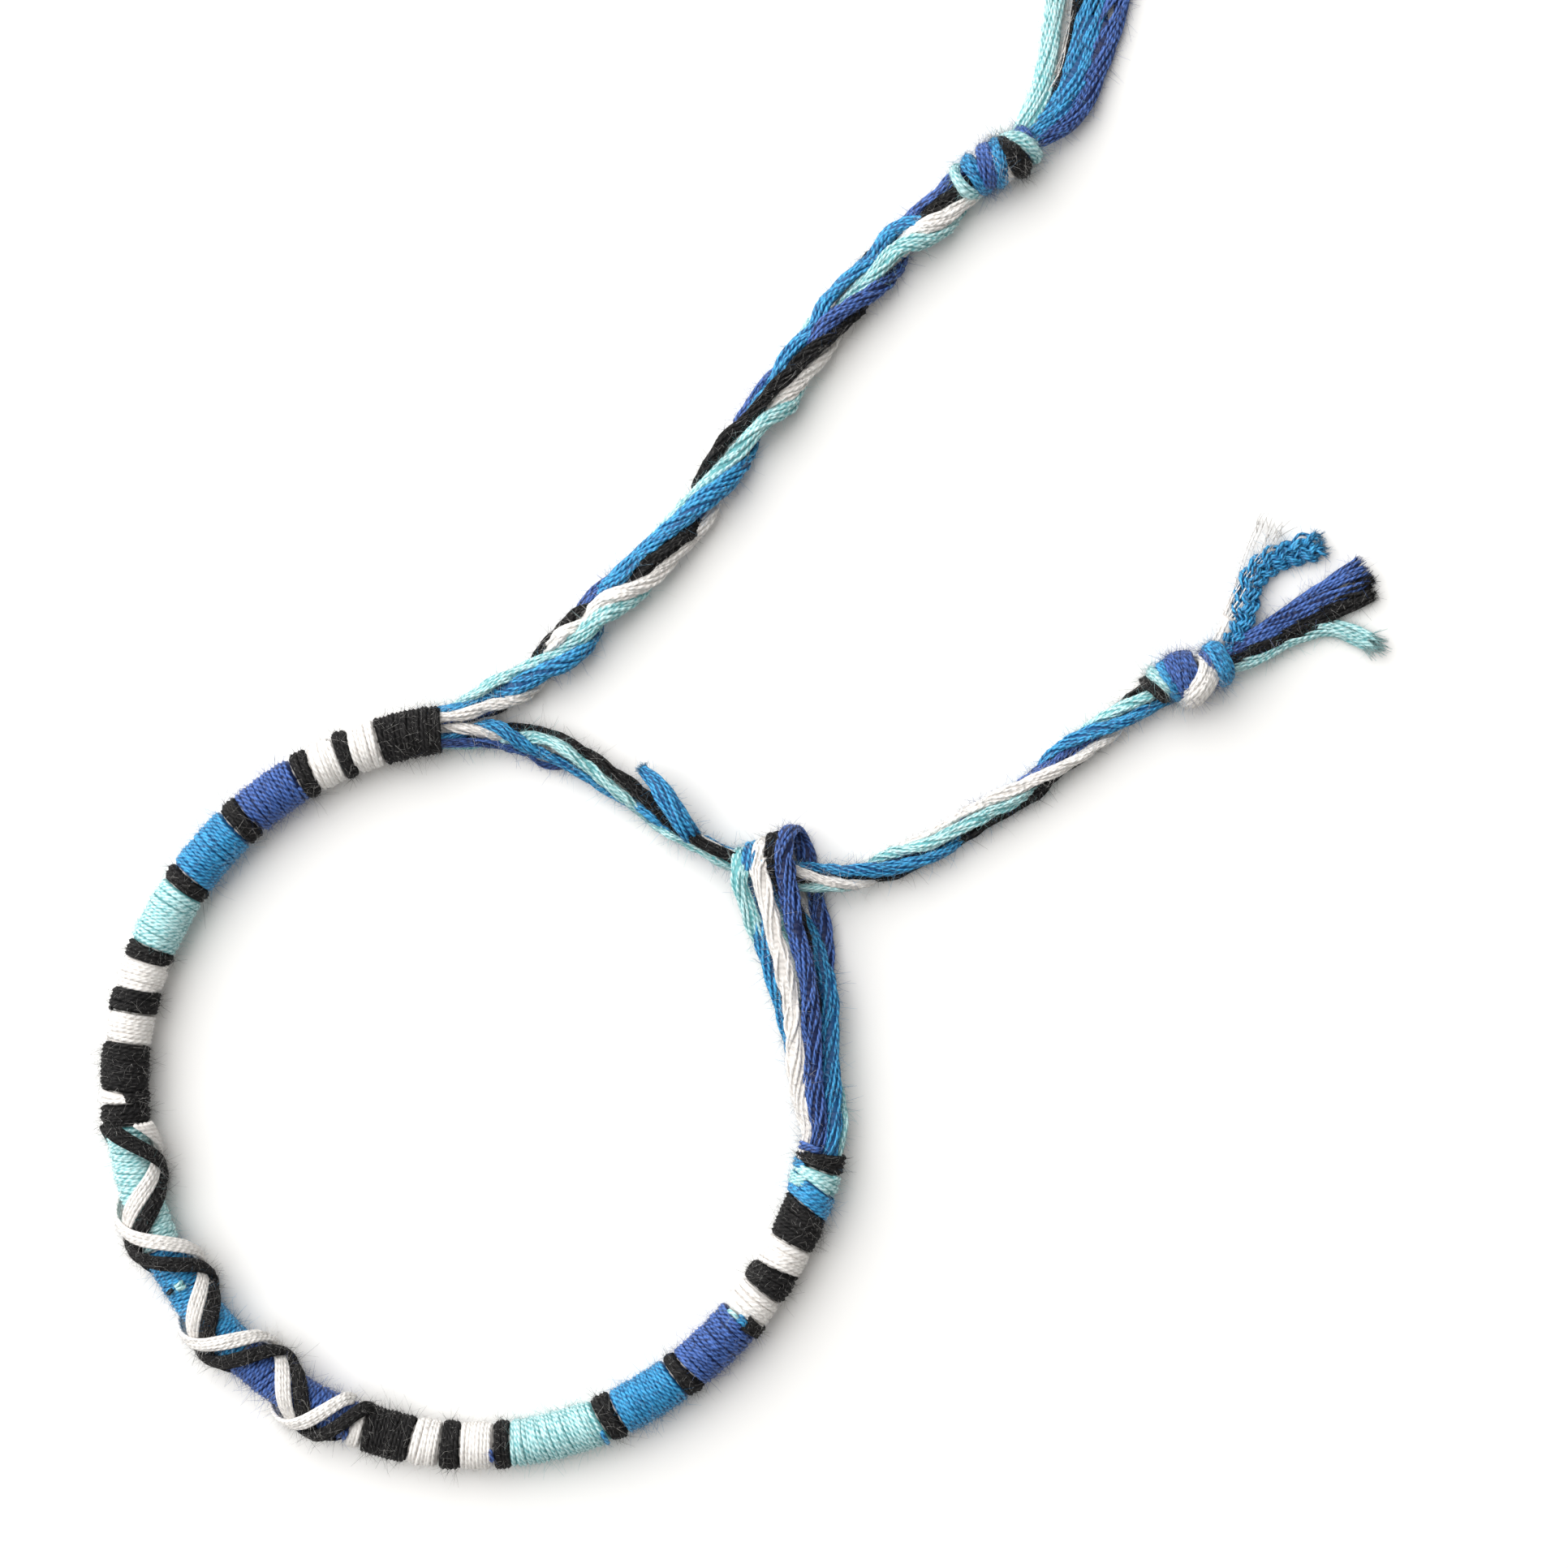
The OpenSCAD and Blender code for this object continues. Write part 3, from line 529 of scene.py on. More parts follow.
# How its thread wanders outward, along the cord and in thickness. Columns: wavelength, size
OUTWARD_WANDER = [[9, 0.03], [61, 0.035]]
ALONG_WANDER = [[19, 0.05], [7, 0.035]]
THICK_WANDER = [7, 0.05]
# Stray fibres for each millimetre of wrapped cord
FUZZ = {"black": 160, "navy": 170, "blue": 150, "aqua": 130, "white": 90}


def cord_place(k, s, lean, across, height):
    """Points by the cord: across is outward from its middle and height is up from it."""
    across, height = np.broadcast_to(across, len(s)), np.broadcast_to(height, len(s))
    return (arc_point(k, s) + arc_out(k, s) * column(across)
            + direction(arc_heading(k, s)) * column(lean * across / wrap_d) + UP * column(ring_z + height))


def sleeve(threads, i, k, s0, s1, outer_r):
    """The smooth filler under a band's coil, coloured with the grooves' painted shade."""
    t = np.linspace(0, 1, max(int((s1 - s0) / sleeve_step), 2) + 1)
    around = 2 * np.pi * np.arange(sleeve_sides) / sleeve_sides
    across, height = [(outer_r - thread_r - sleeve_drop) * f(around) for f in (np.cos, np.sin)]
    places = zip(mix(s0 + sleeve_inset, s1 - sleeve_inset, t), mix(wrap_lean(i), wrap_lean(i + 1), t))
    rings = [cord_place(k, np.full(sleeve_sides, s), lean, across, height) for s, lean in places]
    # The sleeve is painted shade: the dark seen between the threads
    threads.skin(np.array(rings), PAINTED_SHADE_TINT)


def band(i):
    """A band of wrapping: a close coil of thread over a sleeve of the same cotton, coloured with its
    grooves' painted shade.
    """
    name, _, _, size = WRAPS[i]
    s0, s1 = wrap_s(i), wrap_s(i + 1)
    k = arc_at((s0 + s1) / 2)
    outer_r = size * wrap_d / 2
    turns = max(round((s1 - s0) / thread_pitch), 2)
    pitch = (s1 - s0) / turns
    t = np.linspace(0, 1, turns * coil_steps + 1)
    s = mix(s0 + pitch / 2, s1 - pitch / 2, t)
    lean = mix(wrap_lean(i), wrap_lean(i + 1), t) + WRAP_SLOPE.get(i, 0) * np.sin(np.pi * t) ** 0.7
    turn = 2 * np.pi * turns * t + rng.uniform(0, 2 * np.pi)
    run = turn * outer_r
    edge = np.minimum(s - s0, s1 - s)
    r = outer_r - thread_r - edge_dip * np.exp(-edge / edge_dip_len)
    r = r + sum(wander(run, *wave) for wave in OUTWARD_WANDER)
    s = s + sum(wander(run, *wave) for wave in ALONG_WANDER)
    line = cord_place(k, s, lean, r * np.cos(turn), r * np.sin(turn))
    outward = unit(line - cord_place(k, s, lean, 0, 0))
    threads = Threads(name)
    threads.thread(line, thread_r * (1 + wander(run, *THICK_WANDER)), outward, tint=0.5)
    sleeve(threads, i, k, s0, s1, outer_r)
    threads.fuzz(line + outward * thread_r, outward, int(FUZZ[name] * (s1 - s0)))
    node = "wrap_%02d_%s" % (i + 1, name)
    threads.piece(node + "_thread", name, node)


for number in range(len(WRAPS)):
    band(number)


# Bits of other colours in the wrapping. Columns: colour, arc, length along the wrapping, width of the bit,
# and where it starts and ends round the cord, in degrees outward from the top
BITS = [
    ["black", 0, 50.25, 1.1, -100, -8], ["black", 2, 130.4, 1.5, 10, 105], ["aqua", 2, 130.2, 0.6, -42, -6],
    ["blue", 2, 130.3, 0.7, -8, 16], ["navy", 2, 148.1, 0.8, -85, -8], ["navy", 1, 103.2, 0.5, 6, 34],
    ["blue", 1, 113.6, 0.6, 22, 80], ["aqua", 0, 68.8, 0.8, -10, 9], ["black", 0, 68.75, 0.36, 26, 37],
    ["blue", 2, 146.3, 1.0, -110, -42], ["aqua", 2, 144.8, 1.3, -110, -25],
]
# Size of the band under a bit, and how far the bit stands out, is tucked in at its ends and leans
bit_size, bit_rise, bit_tuck, bit_lean = 0.97, 0.25, 0.4, 0.12
bit_steps = 16
bit_fuzz = 16


def bits(name):
    """Short arcs of thread over the wrapping, whose ends are tucked in."""
    threads = Threads(name)
    t = np.linspace(0, 1, bit_steps)
    r = bit_size * wrap_d / 2 - thread_r + bit_rise - bit_tuck * (2 * t - 1) ** 6
    for colour, k, middle, width, roll0, roll1 in BITS:
        if colour != name:
            continue
        roll = np.radians(mix(roll0, roll1, t))
        count = max(round(width / thread_pitch), 1)
        for number in range(count):
            s = middle + ((number + 0.5) / count - 0.5) * width + bit_lean * np.sin(3 * t + number)
            line = cord_place(k, s, 0, r * np.sin(roll), r * np.cos(roll))
            outward = unit(line - cord_place(k, s, 0, 0, 0))
            threads.thread(line, thread_r, outward)
            threads.fuzz(line + outward * thread_r, outward, bit_fuzz)
    threads.piece("bits_" + name, name)


for colour in ("black", "navy", "blue", "aqua"):
    bits(colour)


# The bundle inside the wrapping: six strands round one, from just inside each mouth
core_strand_r = core_d / 6
core_inset = 0.6
core_steps = 40


def core():
    """The core's strands, which run through all of the wrapping."""
    threads = Threads("white")
    last = len(ARCS) - 1
    for strand in range(7):
        from_middle = 0 if strand == 6 else 2 * core_strand_r
        across, height, _ = from_middle * direction(60 * strand)
        stretches = []
        for k in range(len(ARCS)):
            s = np.linspace(ARC_S[k] + (core_inset if k == 0 else 0),
                            ARC_S[k + 1] - (core_inset if k == last else 0), core_steps)
            stretches.append(cord_place(k, s if k == 0 else s[1:], 0, across, height))
        line = np.concatenate(stretches)
        threads.thread(line, core_strand_r, np.broadcast_to(UP, line.shape), 6)
    threads.piece("core_strands", "white", "core")


core()


# The lacing. A lace's strands lie side by side, crowned in the middle
lace_strands, lace_steps = 5, 110
lace_strand_r = 0.22
lace_spread, lace_crown = 0.92, 0.16
lace_fuzz = 330
# A lace starts ahead of its even turns and eases into them, and its far end dips
lace_ahead, lace_ease = 1.5, 5.0
lace_dip, lace_dip_len = 0.5, 1.0
# How far the laces start before the first band that they cross, and run on past the last one
lace_before = 0.1
LACE_PAST = {"lace_under_white": 0.1, "lace_under_black": 0.1, "lace_over_white": -0.7,
             "lace_over_black": 1.2}


def lace(name, colour, way, phase, layer, room):
    """A flat lace that winds round the thinner bands."""
    s0, s1 = wrap_s(FIRST_UNDER) - lace_before, wrap_s(LAST_UNDER + 1) + LACE_PAST[name]
    origin = wrap_s(FIRST_UNDER) + gap
    middle_r = under_r + lace_gap + lace_t / 2 + layer * (lace_gap + lace_t)
    lean = math.atan2(lace_pitch, 2 * math.pi * under_r)
    half_turn = min(180 * room - math.degrees(gap / middle_r),
                    math.degrees(lace_w / 2 / math.sin(lean) / middle_r))
    threads = Threads(colour)
    s = np.linspace(s0, s1, lace_steps)
    ahead = lace_ahead * np.exp(-(s - s0) / lace_ease)
    dip = lace_dip * smooth((s - s1) / lace_dip_len + 1)
    for strand in range(lace_strands):
        share = (strand + 0.5) / lace_strands * 2 - 1
        roll = way * 360 * ((s + ahead - origin) / lace_pitch - phase) + half_turn * share * lace_spread
        roll = np.radians(roll) + wander(s, 6, 0.02)
        r = middle_r + wander(s, 5, 0.03) + lace_crown * (1 - share ** 2) - dip
        line = cord_place(0, s, 0, -r * np.sin(roll), r * np.cos(roll))
        lift(line, lace_low)
        outward = arc_out(0, s) * column(-np.sin(roll)) + UP * column(np.cos(roll))
        threads.thread(line, lace_strand_r * (1 + wander(s, 4, 0.08)), outward)
        threads.fuzz(line + outward * 0.2, outward, lace_fuzz)
    threads.piece(name + "_strands", colour, name)


for row in LACES:
    lace(*row)


# Flosses of several strands. Radius of one of ten as a share of half the floss's thickness
strand_share = 0.33
# How far inside the floss its filler lies, as a share of that radius
filler_share = 0.85
# How loosely the strands lie, their stray fibres for each millimetre of floss, and a frayed fibre's radius
floss_loose = 0.1
floss_fuzz = 40.0
fray_r = 0.05


def tip_fibres(threads, path, count, reach, spread=0.1):
    """The frayed end of a strand."""
    tip, way_on = path[-1], unit(path[-1] - path[-3])
    u = np.linspace(0, 1, 4)[:, None]
    for _ in range(count):
        way = unit(way_on + rng.normal(0, 0.25, 3))
        start = tip - way_on * 0.4 + np.cross(way_on, UP) * rng.uniform(-spread, spread)
        line = start + way * (rng.uniform(0.3, 1) * reach + 0.4) * u + rng.normal(0, 0.15, 3) * u ** 2
        lift(line, fibre_low)
        side = np.broadcast_to(UP + way_on[::-1] * 0.1, line.shape)
        threads.thread(line, fray_r * (1 - 0.7 * u[:, 0]), side, 3)


def floss(threads, line, side, half_w, half_t, strands=10, twist=18.0):
    """Strands round a floss that is flattened: half_w along the side directions, half_t across them."""
    h = heading_of(line)
    a = square_to(h, side)
    b = np.cross(h, a)
    s = lengths(line)
    half_w = np.broadcast_to(half_w, len(line)) * (1 + wander(s, 11, 0.05))
    half_t = np.broadcast_to(half_t, len(line)) * (1 + wander(s, 11, 0.05))
    start = rng.uniform(0, 2 * np.pi)
    strand_r = strand_share * np.minimum(half_t, half_w) * (10 / strands) ** 0.6
    rings = oval_rings(line, a, b, half_w - filler_share * strand_r, half_t - filler_share * strand_r,
                       filler_sides)
    lift(rings, filler_low)
    # The filler takes the grooves' colour: painted shade between the strands
    threads.skin(rings, PAINTED_SHADE_TINT)
    for strand in range(strands):
        turn = start + 2 * np.pi * (strand / strands + s / twist) + wander(s, 12, 0.16)
        x = (half_w - strand_r) * np.cos(turn) + wander(s, 6, floss_loose)
        y = (half_t - strand_r) * np.sin(turn) + wander(s, 6, floss_loose)
        path = line + a * column(x) + b * column(y)
        lift(path, strand_low)
        outward = unit(a * column(np.cos(turn)) + b * column(np.sin(turn)))
        threads.thread(path, strand_r * (1 + wander(s, 4, 0.1)), outward)
        threads.fuzz(path + outward * column(strand_r), outward, int(floss_fuzz * s[-1] / strands))


def eased(at, rows, value, soften):
    """A column of a table, looked up by its first and softened over a share of the whole."""
    table = np.array(rows, float)
    values = np.interp(at, table[:, 0], table[:, value])
    half = max(int(len(values) * soften / 2), 1)
    before = 2 * values[0] - values[half:0:-1]
    beyond = 2 * values[-1] - values[-2:-half - 2:-1]
    window = np.full(2 * half + 1, 1 / (2 * half + 1))
    return np.convolve(np.concatenate([before, values, beyond]), window, "valid")


# The tails and the loop's top, where the lower tail passes through it
eye_half_h = 2.35
eye_z = eye_half_h + loop_r
tail_z = twist_r + tail_r
# How slim the lower tail is in the loop, for how far, and the length in which it grows again
pinch, pinch_hold, pinch_len = 0.85, 5.6, 7
# Lengths from the mouth in which a tail's flosses spread and grow
spread_len, grow_len = 6, 9
eye = along(loop_mouth, loop_heading, loop_reach, [1, 0])
upper_knot_at = along(mouth, upper_heading, upper_reach, [1, 0])
lower_knot_at = along(eye, lower_heading, lower_reach, [1, 0])
to_eye = eye - mouth
to_eye_reach = np.linalg.norm(to_eye)
to_eye_heading = math.degrees(math.atan2(to_eye[1], to_eye[0]))
upper_points = [mouth, *[along(mouth, upper_heading, upper_reach, p) for p in UPPER_ROUTE], upper_knot_at]
lower_points = [mouth, *[along(mouth, to_eye_heading, to_eye_reach, p) for p in LOWER_ROUTE_TO_LOOP], eye,
                *[along(eye, lower_heading, lower_reach, p) for p in LOWER_ROUTE_PAST_LOOP], lower_knot_at]
eye_index = len(LOWER_ROUTE_TO_LOOP) + 1
eye_left = -unit(lower_points[eye_index + 1] - lower_points[eye_index - 1])
pinch_at = eye - eye_left * 1.75 * loop_floss_d / 2
tail_steps = 130

# How each floss lies round its tail. Columns: colour, width and thickness as shares of the floss, then rows
# of the length from the mouth, the turns from the top, where a quarter is to the right and three quarters
# is to the left, and the distance from the tail's middle as a share of twist_r
UPPER_TURNS = [
    ["aqua", 1.05, 1.0, [
        [0, -0.4, 1], [3, -0.3, 1], [5.5, -0.16, 1.1], [8, -0.12, 1.15], [10.5, -0.13, 0.8],
        [12.5, -0.12, 0.4], [15, -0.06, 0.8], [19, 0, 1], [23.5, 0.2, 1], [26, 0.64, 1], [28.5, 0.77, 1],
        [32, 0.83, 0.7], [37, 0.92, 0.4], [42, 1, 1], [47, 1.2, 1], [49.5, 1.55, 1], [52, 1.75, 1.05],
        [55.5, 1.82, 0.7], [60.5, 1.84, 0.4], [62.5, 1.9, 1], [65, 2.04, 1], [68, 2.22, 1], [70, 2.45, 1],
        [71.4, 2.5, 1]]],
    ["white", 1.05, 1.0, [
        [0, -0.05, 1], [5, 0.05, 1], [9.5, 0.28, 1], [12, 0.66, 1], [14, 0.82, 1], [17, 0.9, 0.8],
        [19, 0.96, 0.6], [22, 1.05, 1], [26, 1.13, 1], [30, 1.2, 1], [33.5, 1.35, 1], [37, 1.78, 0.8],
        [42, 1.9, 0.5], [45.5, 2.05, 1], [50, 2.2, 1], [53.5, 2.4, 1], [57, 2.65, 0.8], [61, 2.8, 0.4],
        [64.5, 2.95, 0.4], [67, 3.04, 1], [71.4, 3.14, 1]]],
    ["black", 0.9, 0.95, [
        [0, 0.48, 0.8], [5, 0.42, 1], [8, 0.4, 1.1], [10, 0.52, 1], [11.5, 0.7, 1.1], [14.5, 0.76, 1.3],
        [17.5, 0.8, 1], [19.5, 0.85, 0.3], [22, 0.95, 0.5], [25, 1, 1], [28, 1.07, 1], [31, 1.22, 1],
        [32.8, 1.58, 1], [34.5, 1.74, 1.2], [38, 1.78, 1.2], [41, 1.84, 0.7], [45.5, 1.92, 0.9],
        [50, 2, 1], [54, 2.1, 1], [57, 2.28, 1], [59, 2.6, 1], [60.7, 2.77, 1.1], [63, 2.85, 0.2],
        [66.5, 2.88, 0.3], [69, 2.93, 0.9], [71.4, 2.98, 1]]],
    ["navy", 1.0, 0.95, [
        [0, -0.65, 0.2], [7, -0.6, 0.3], [14, -0.42, 0.9], [17.5, -0.28, 1.1], [22, -0.22, 1.15],
        [26, -0.15, 0.4], [31, 0.02, 0], [35, 0.25, 0.8], [38, 0.5, 1], [41, 0.7, 1], [44.5, 0.75, 1.15],
        [47.5, 0.79, 0.9], [50, 0.84, 0.6], [52.5, 0.92, 0.9], [56, 1.02, 1], [60, 1.14, 1],
        [62.5, 1.4, 1], [64.3, 1.7, 1], [67, 1.79, 1], [71.4, 1.86, 1]]],
    ["blue", 1.3, 1.05, [
        [0, -0.32, 1], [3, -0.26, 1], [5, -0.24, 0.8], [7, -0.04, 0.6], [9, 0, 1], [12, 0.04, 1],
        [16, 0.17, 1], [18, 0.48, 1], [19.8, 0.78, 1], [22, 0.87, 1.05], [24.5, 0.84, 0.8],
        [27, 0.86, 0.9], [30, 0.93, 1], [33, 1, 1], [37, 1.12, 1], [39.5, 1.4, 1], [42, 1.72, 0.9],
        [45, 1.85, 0.95], [48, 1.86, 0.9], [51, 1.84, 0.6], [54, 1.77, 0.9], [58, 1.79, 1],
        [61, 1.88, 0.6], [63, 1.8, 0.9], [65, 1.8, 0.8], [68, 2.2, 0.3], [71.4, 2.5, 0.5]]],
]
LOWER_TURNS = [
    ["aqua", 1.05, 1.0, [
        [0, 0.3, 1], [5, 0.3, 1], [7, 0.2, 0.6], [9, -0.1, 0.7], [11, -0.1, 1], [14, 0.02, 1],
        [18, 0.18, 1], [21, 0.25, 1], [30, 0.3, 0.9], [35, 0.3, 1], [39, 0.25, 1], [43, 0.4, 1],
        [45, 0.66, 1], [47.5, 0.84, 1], [50, 0.95, 1], [54, 1.02, 1], [57, 1.1, 1], [60.5, 1.25, 1],
        [63, 1.45, 1], [66, 1.6, 1], [69, 1.72, 1], [72, 1.84, 1], [74.9, 1.95, 1]]],
    ["white", 1.0, 1.0, [
        [0, -0.22, 1.1], [3, -0.1, 1], [6, 0.12, 0.6], [8, 0.35, 0.8], [13, 0.55, 0.5], [17, 0.6, 0.3],
        [27, 0.6, 0.2], [33, 0.8, 0.3], [38.6, 1, 1], [42, 1.2, 1], [45, 1.45, 0.9], [47, 1.66, 0.8],
        [49, 1.75, 0.9], [52, 1.79, 0.9], [56, 1.88, 1], [60, 1.97, 1], [64, 2.08, 1], [68, 2.24, 1],
        [71, 2.45, 1], [74.9, 2.6, 1]]],
    ["black", 1.1, 0.95, [
        [0, 0.5, 1], [6, 0.47, 1], [7.5, 0.6, 1], [9, 0.74, 1], [13, 0.82, 1.05], [18, 0.9, 1],
        [21, 0.97, 1], [25, 1.1, 1], [29, 1, 1], [34, 0.95, 1], [36, 1.1, 0.8], [39, 1.4, 0.8],
        [48, 1.36, 0.9], [54, 1.3, 1], [60, 1.3, 1], [64, 1.36, 0.8], [68, 1.3, 1], [70.5, 1.45, 1],
        [72.5, 1.64, 1], [74.9, 1.8, 1]]],
    ["navy", 0.95, 0.9, [
        [0, 0.12, 1], [4, 0.22, 1.1], [9, 0.36, 1], [20, 0.45, 1], [33, 0.38, 1.1], [38, 0.5, 0.8],
        [48, 0.55, 0.6], [56, 0.5, 0.1], [66, 0.5, 0.1], [74.9, 0.5, 0.5]]],
    ["blue", 1.2, 1.05, [
        [0, -0.3, 0.1], [2.2, -0.25, 0.4], [3.6, -0.16, 1], [5, -0.05, 1], [6.5, 0.02, 1], [9.5, 0.24, 1],
        [14, 0.38, 1], [19, 0.3, 1], [22, 0.2, 1], [25, 0.32, 1], [28, 0.5, 1], [34, 0.55, 1],
        [38, 0.6, 1], [40.5, 0.8, 1], [43, 0.95, 1], [46, 1.08, 1], [50, 1.22, 1], [54, 1.38, 0.9],
        [58, 1.4, 0.9], [61.5, 1.32, 1], [63.2, 1.52, 1], [64.8, 1.72, 1], [67, 1.86, 1], [70, 1.98, 1],
        [73, 2.12, 1], [74.9, 2.2, 1]]],
]
# At the mouth: how far to its side a tail starts, and shares of the twist's and the flosses' full size
mouth_left = 0.78
mouth_twist_share = 0.66
mouth_floss_share = 0.82
# Flosses that overlap are moved apart in rounds, to a share of their radii together
settle_rounds = 60
settle_share = 0.96
# Width of a floss as a share of its thickness, and the share of a tail that softens its tables
floss_flat = 1.22
tail_soften = 0.045
# How far the flosses run on into the knot, and how much of the way up to its middle
into_knot, into_knot_rise = 2.2, 0.6
# How slim a tail starts, for how long, and the length in which it grows
UPPER_SLIM, LOWER_SLIM = (0.86, 4, 18), (0.78, 90, 12)


def settle(x, y, r):
    """Moves flosses that overlap apart, for all the places along the tail at once."""
    for _ in range(settle_rounds):
        for i in range(len(x)):
            for j in range(i + 1, len(x)):
                dx, dy = x[i] - x[j], y[i] - y[j]
                apart = np.hypot(dx, dy) + 1e-6
                push = np.maximum(settle_share * (r[i] + r[j]) - apart, 0) / apart / 4
                x[i] += dx * push
                x[j] -= dx * push
                y[i] += dy * push
                y[j] -= dy * push
        y[:] = np.maximum(y, r - tail_z)
    window = np.ones(5) / 5
    for row in [*x, *y]:
        row[2:-2] = np.convolve(row, window, "valid")


def lay_flosses(table, s, twist_share, size_share):
    """Where each floss of a tail lies to the left of its line and above it, and its radius."""
    x, y, r = [], [], []
    for _, wide, thick, rows in table:
        turn = 2 * np.pi * eased(s, rows, 1, tail_soften) + wander(s, 15, 0.08)
        from_middle = twist_r * eased(s, rows, 2, tail_soften) * twist_share + wander(s, 13, 0.06)
        x.append(-from_middle * np.sin(turn))
        y.append(from_middle * np.cos(turn))
        r.append(tail_r * math.sqrt(floss_flat * wide * thick) * size_share)
    x, y, r = np.array(x), np.array(y), np.array(r)
    settle(x, y, r)
    return x, y, r


def tail(table, points, at_side, drawn_in, slimness, knot_heading, node):
    """A tail: its flosses lie round each other and run on into the knot."""
    line = evenly(points, tail_steps)
    s = lengths(line)
    out = smooth(s / spread_len)
    near = smooth((pinch_hold + pinch_len - np.linalg.norm(line - pinch_at, axis=1)) / pinch_len) * drawn_in
    slim = mix(1, pinch, near) * mix(slimness[0], 1, smooth((s - slimness[1]) / slimness[2]))
    x, y, r = lay_flosses(table, s, mix(mouth_twist_share, 1, out) * slim,
                          mix(mouth_floss_share, 1, smooth(s / grow_len)) * slim)
    sideways = left_of(line)
    middle_z = mix(mix(ring_z, tail_z, out), eye_z, near)
    for i, (name, wide, thick, _) in enumerate(table):
        path = (line + sideways * column(at_side * mouth_left * (1 - out) + x[i])
                + UP * column(middle_z + y[i]))
        angle = np.arctan2(x[i], y[i])
        side = sideways * column(np.cos(angle)) - UP * column(np.sin(angle))
        inside = path[0] - direction(MOUTH_HEADING - 180) * tuck_in
        rise = (knot_w / 2 - path[-1][2]) * into_knot_rise
        onward = path[-1] + direction(knot_heading) * into_knot + UP * rise
        path = np.concatenate([[inside], path, [onward]])
        side = np.concatenate([side[:1], side, side[-1:]])
        half = np.concatenate([r[i][:1], r[i], r[i][-1:]])
        flat = math.sqrt(floss_flat * wide / thick)
        threads = Threads(name)
        floss(threads, path, side, half * flat, half / flat)
        for extra in EXTRAS.get(node + name, []):
            extra_floss(threads, *extra)
        threads.piece(node + name + "_strands", name, node + name)


# Short pieces of floss beside a tail. Columns: chosen points, half the width and half the thickness at the
# ends and in the middle, strands and fray
EXTRAS = {
    "lower_tail_blue": [
        [[[15.5, 30.6, 2.7], [16.7, 29.3, 3.6], [17.9, 27.7, 4.2], [19.1, 25.8, 4.3], [20.1, 24.4, 3.4],
          [20.8, 23.4, 2.0]], (0.42, 0.36), (1.02, 0.62), 11, 0.5]],
    "lower_tail_navy": [
        [[[4.0, 32.7, 1.6], [5.1, 31.6, 1.2], [6.2, 31.0, 1.1], [7.5, 30.8, 1.3], [8.8, 30.9, 1.9]],
         (0.22, 0.2), (0.26, 0.22), 3, 0],
        [[[44.9, 25.3, 2.2], [46.1, 26.4, 2.5], [47.7, 27.7, 2.0]], (0.15, 0.15), (0.2, 0.18), 3, 0.4]],
}
extra_steps = 30
extra_twist = 30
# Frayed fibres of each strand at the cut end
extra_fibres = 14


def extra_floss(threads, points, ends, middle, strands, fray):
    """A short piece of floss, slimmer at its ends and frayed where it starts."""
    path = evenly(points, extra_steps)
    t = np.sin(np.pi * np.linspace(0, 1, extra_steps + 1)) ** 0.7
    floss(threads, path, left_of(path), mix(ends[0], middle[0], t), mix(ends[1], middle[1], t), strands,
          extra_twist)
    if fray:
        tip_fibres(threads, path[::-1], extra_fibres * strands, fray, ends[0])


tail(UPPER_TURNS, upper_points, 1, 0, UPPER_SLIM, UPPER_KNOT_HEADING, "upper_tail_")
tail(LOWER_TURNS, lower_points, -1, 1, LOWER_SLIM, LOWER_KNOT_HEADING, "lower_tail_")


# The loop, with the points along a leg and round its top
leg_steps = 60
turn_steps = 16
# How far its top reaches past the eye and where it points, and how far to the left its legs run
turn_reach = 2.2
turn_heading = 95
loop_left = 0.65
# Share of a leg that softens its tables, its flosses' size at the mouth and where they are full size
loop_soften = 0.16
loop_mouth_share, loop_grow_len = 0.78, 7
loop_strands = 9
# Width of each floss as a share of its thickness
LOOP_WIDE = {"aqua": 1.6, "blue": 1.85, "white": 1.65, "black": 1.6, "navy": 1.75}
loop_line = evenly([loop_mouth, *[along(loop_mouth, loop_heading, loop_reach, p) for p in LOOP_ROUTE], eye],
                   leg_steps)
loop_s = lengths(loop_line)
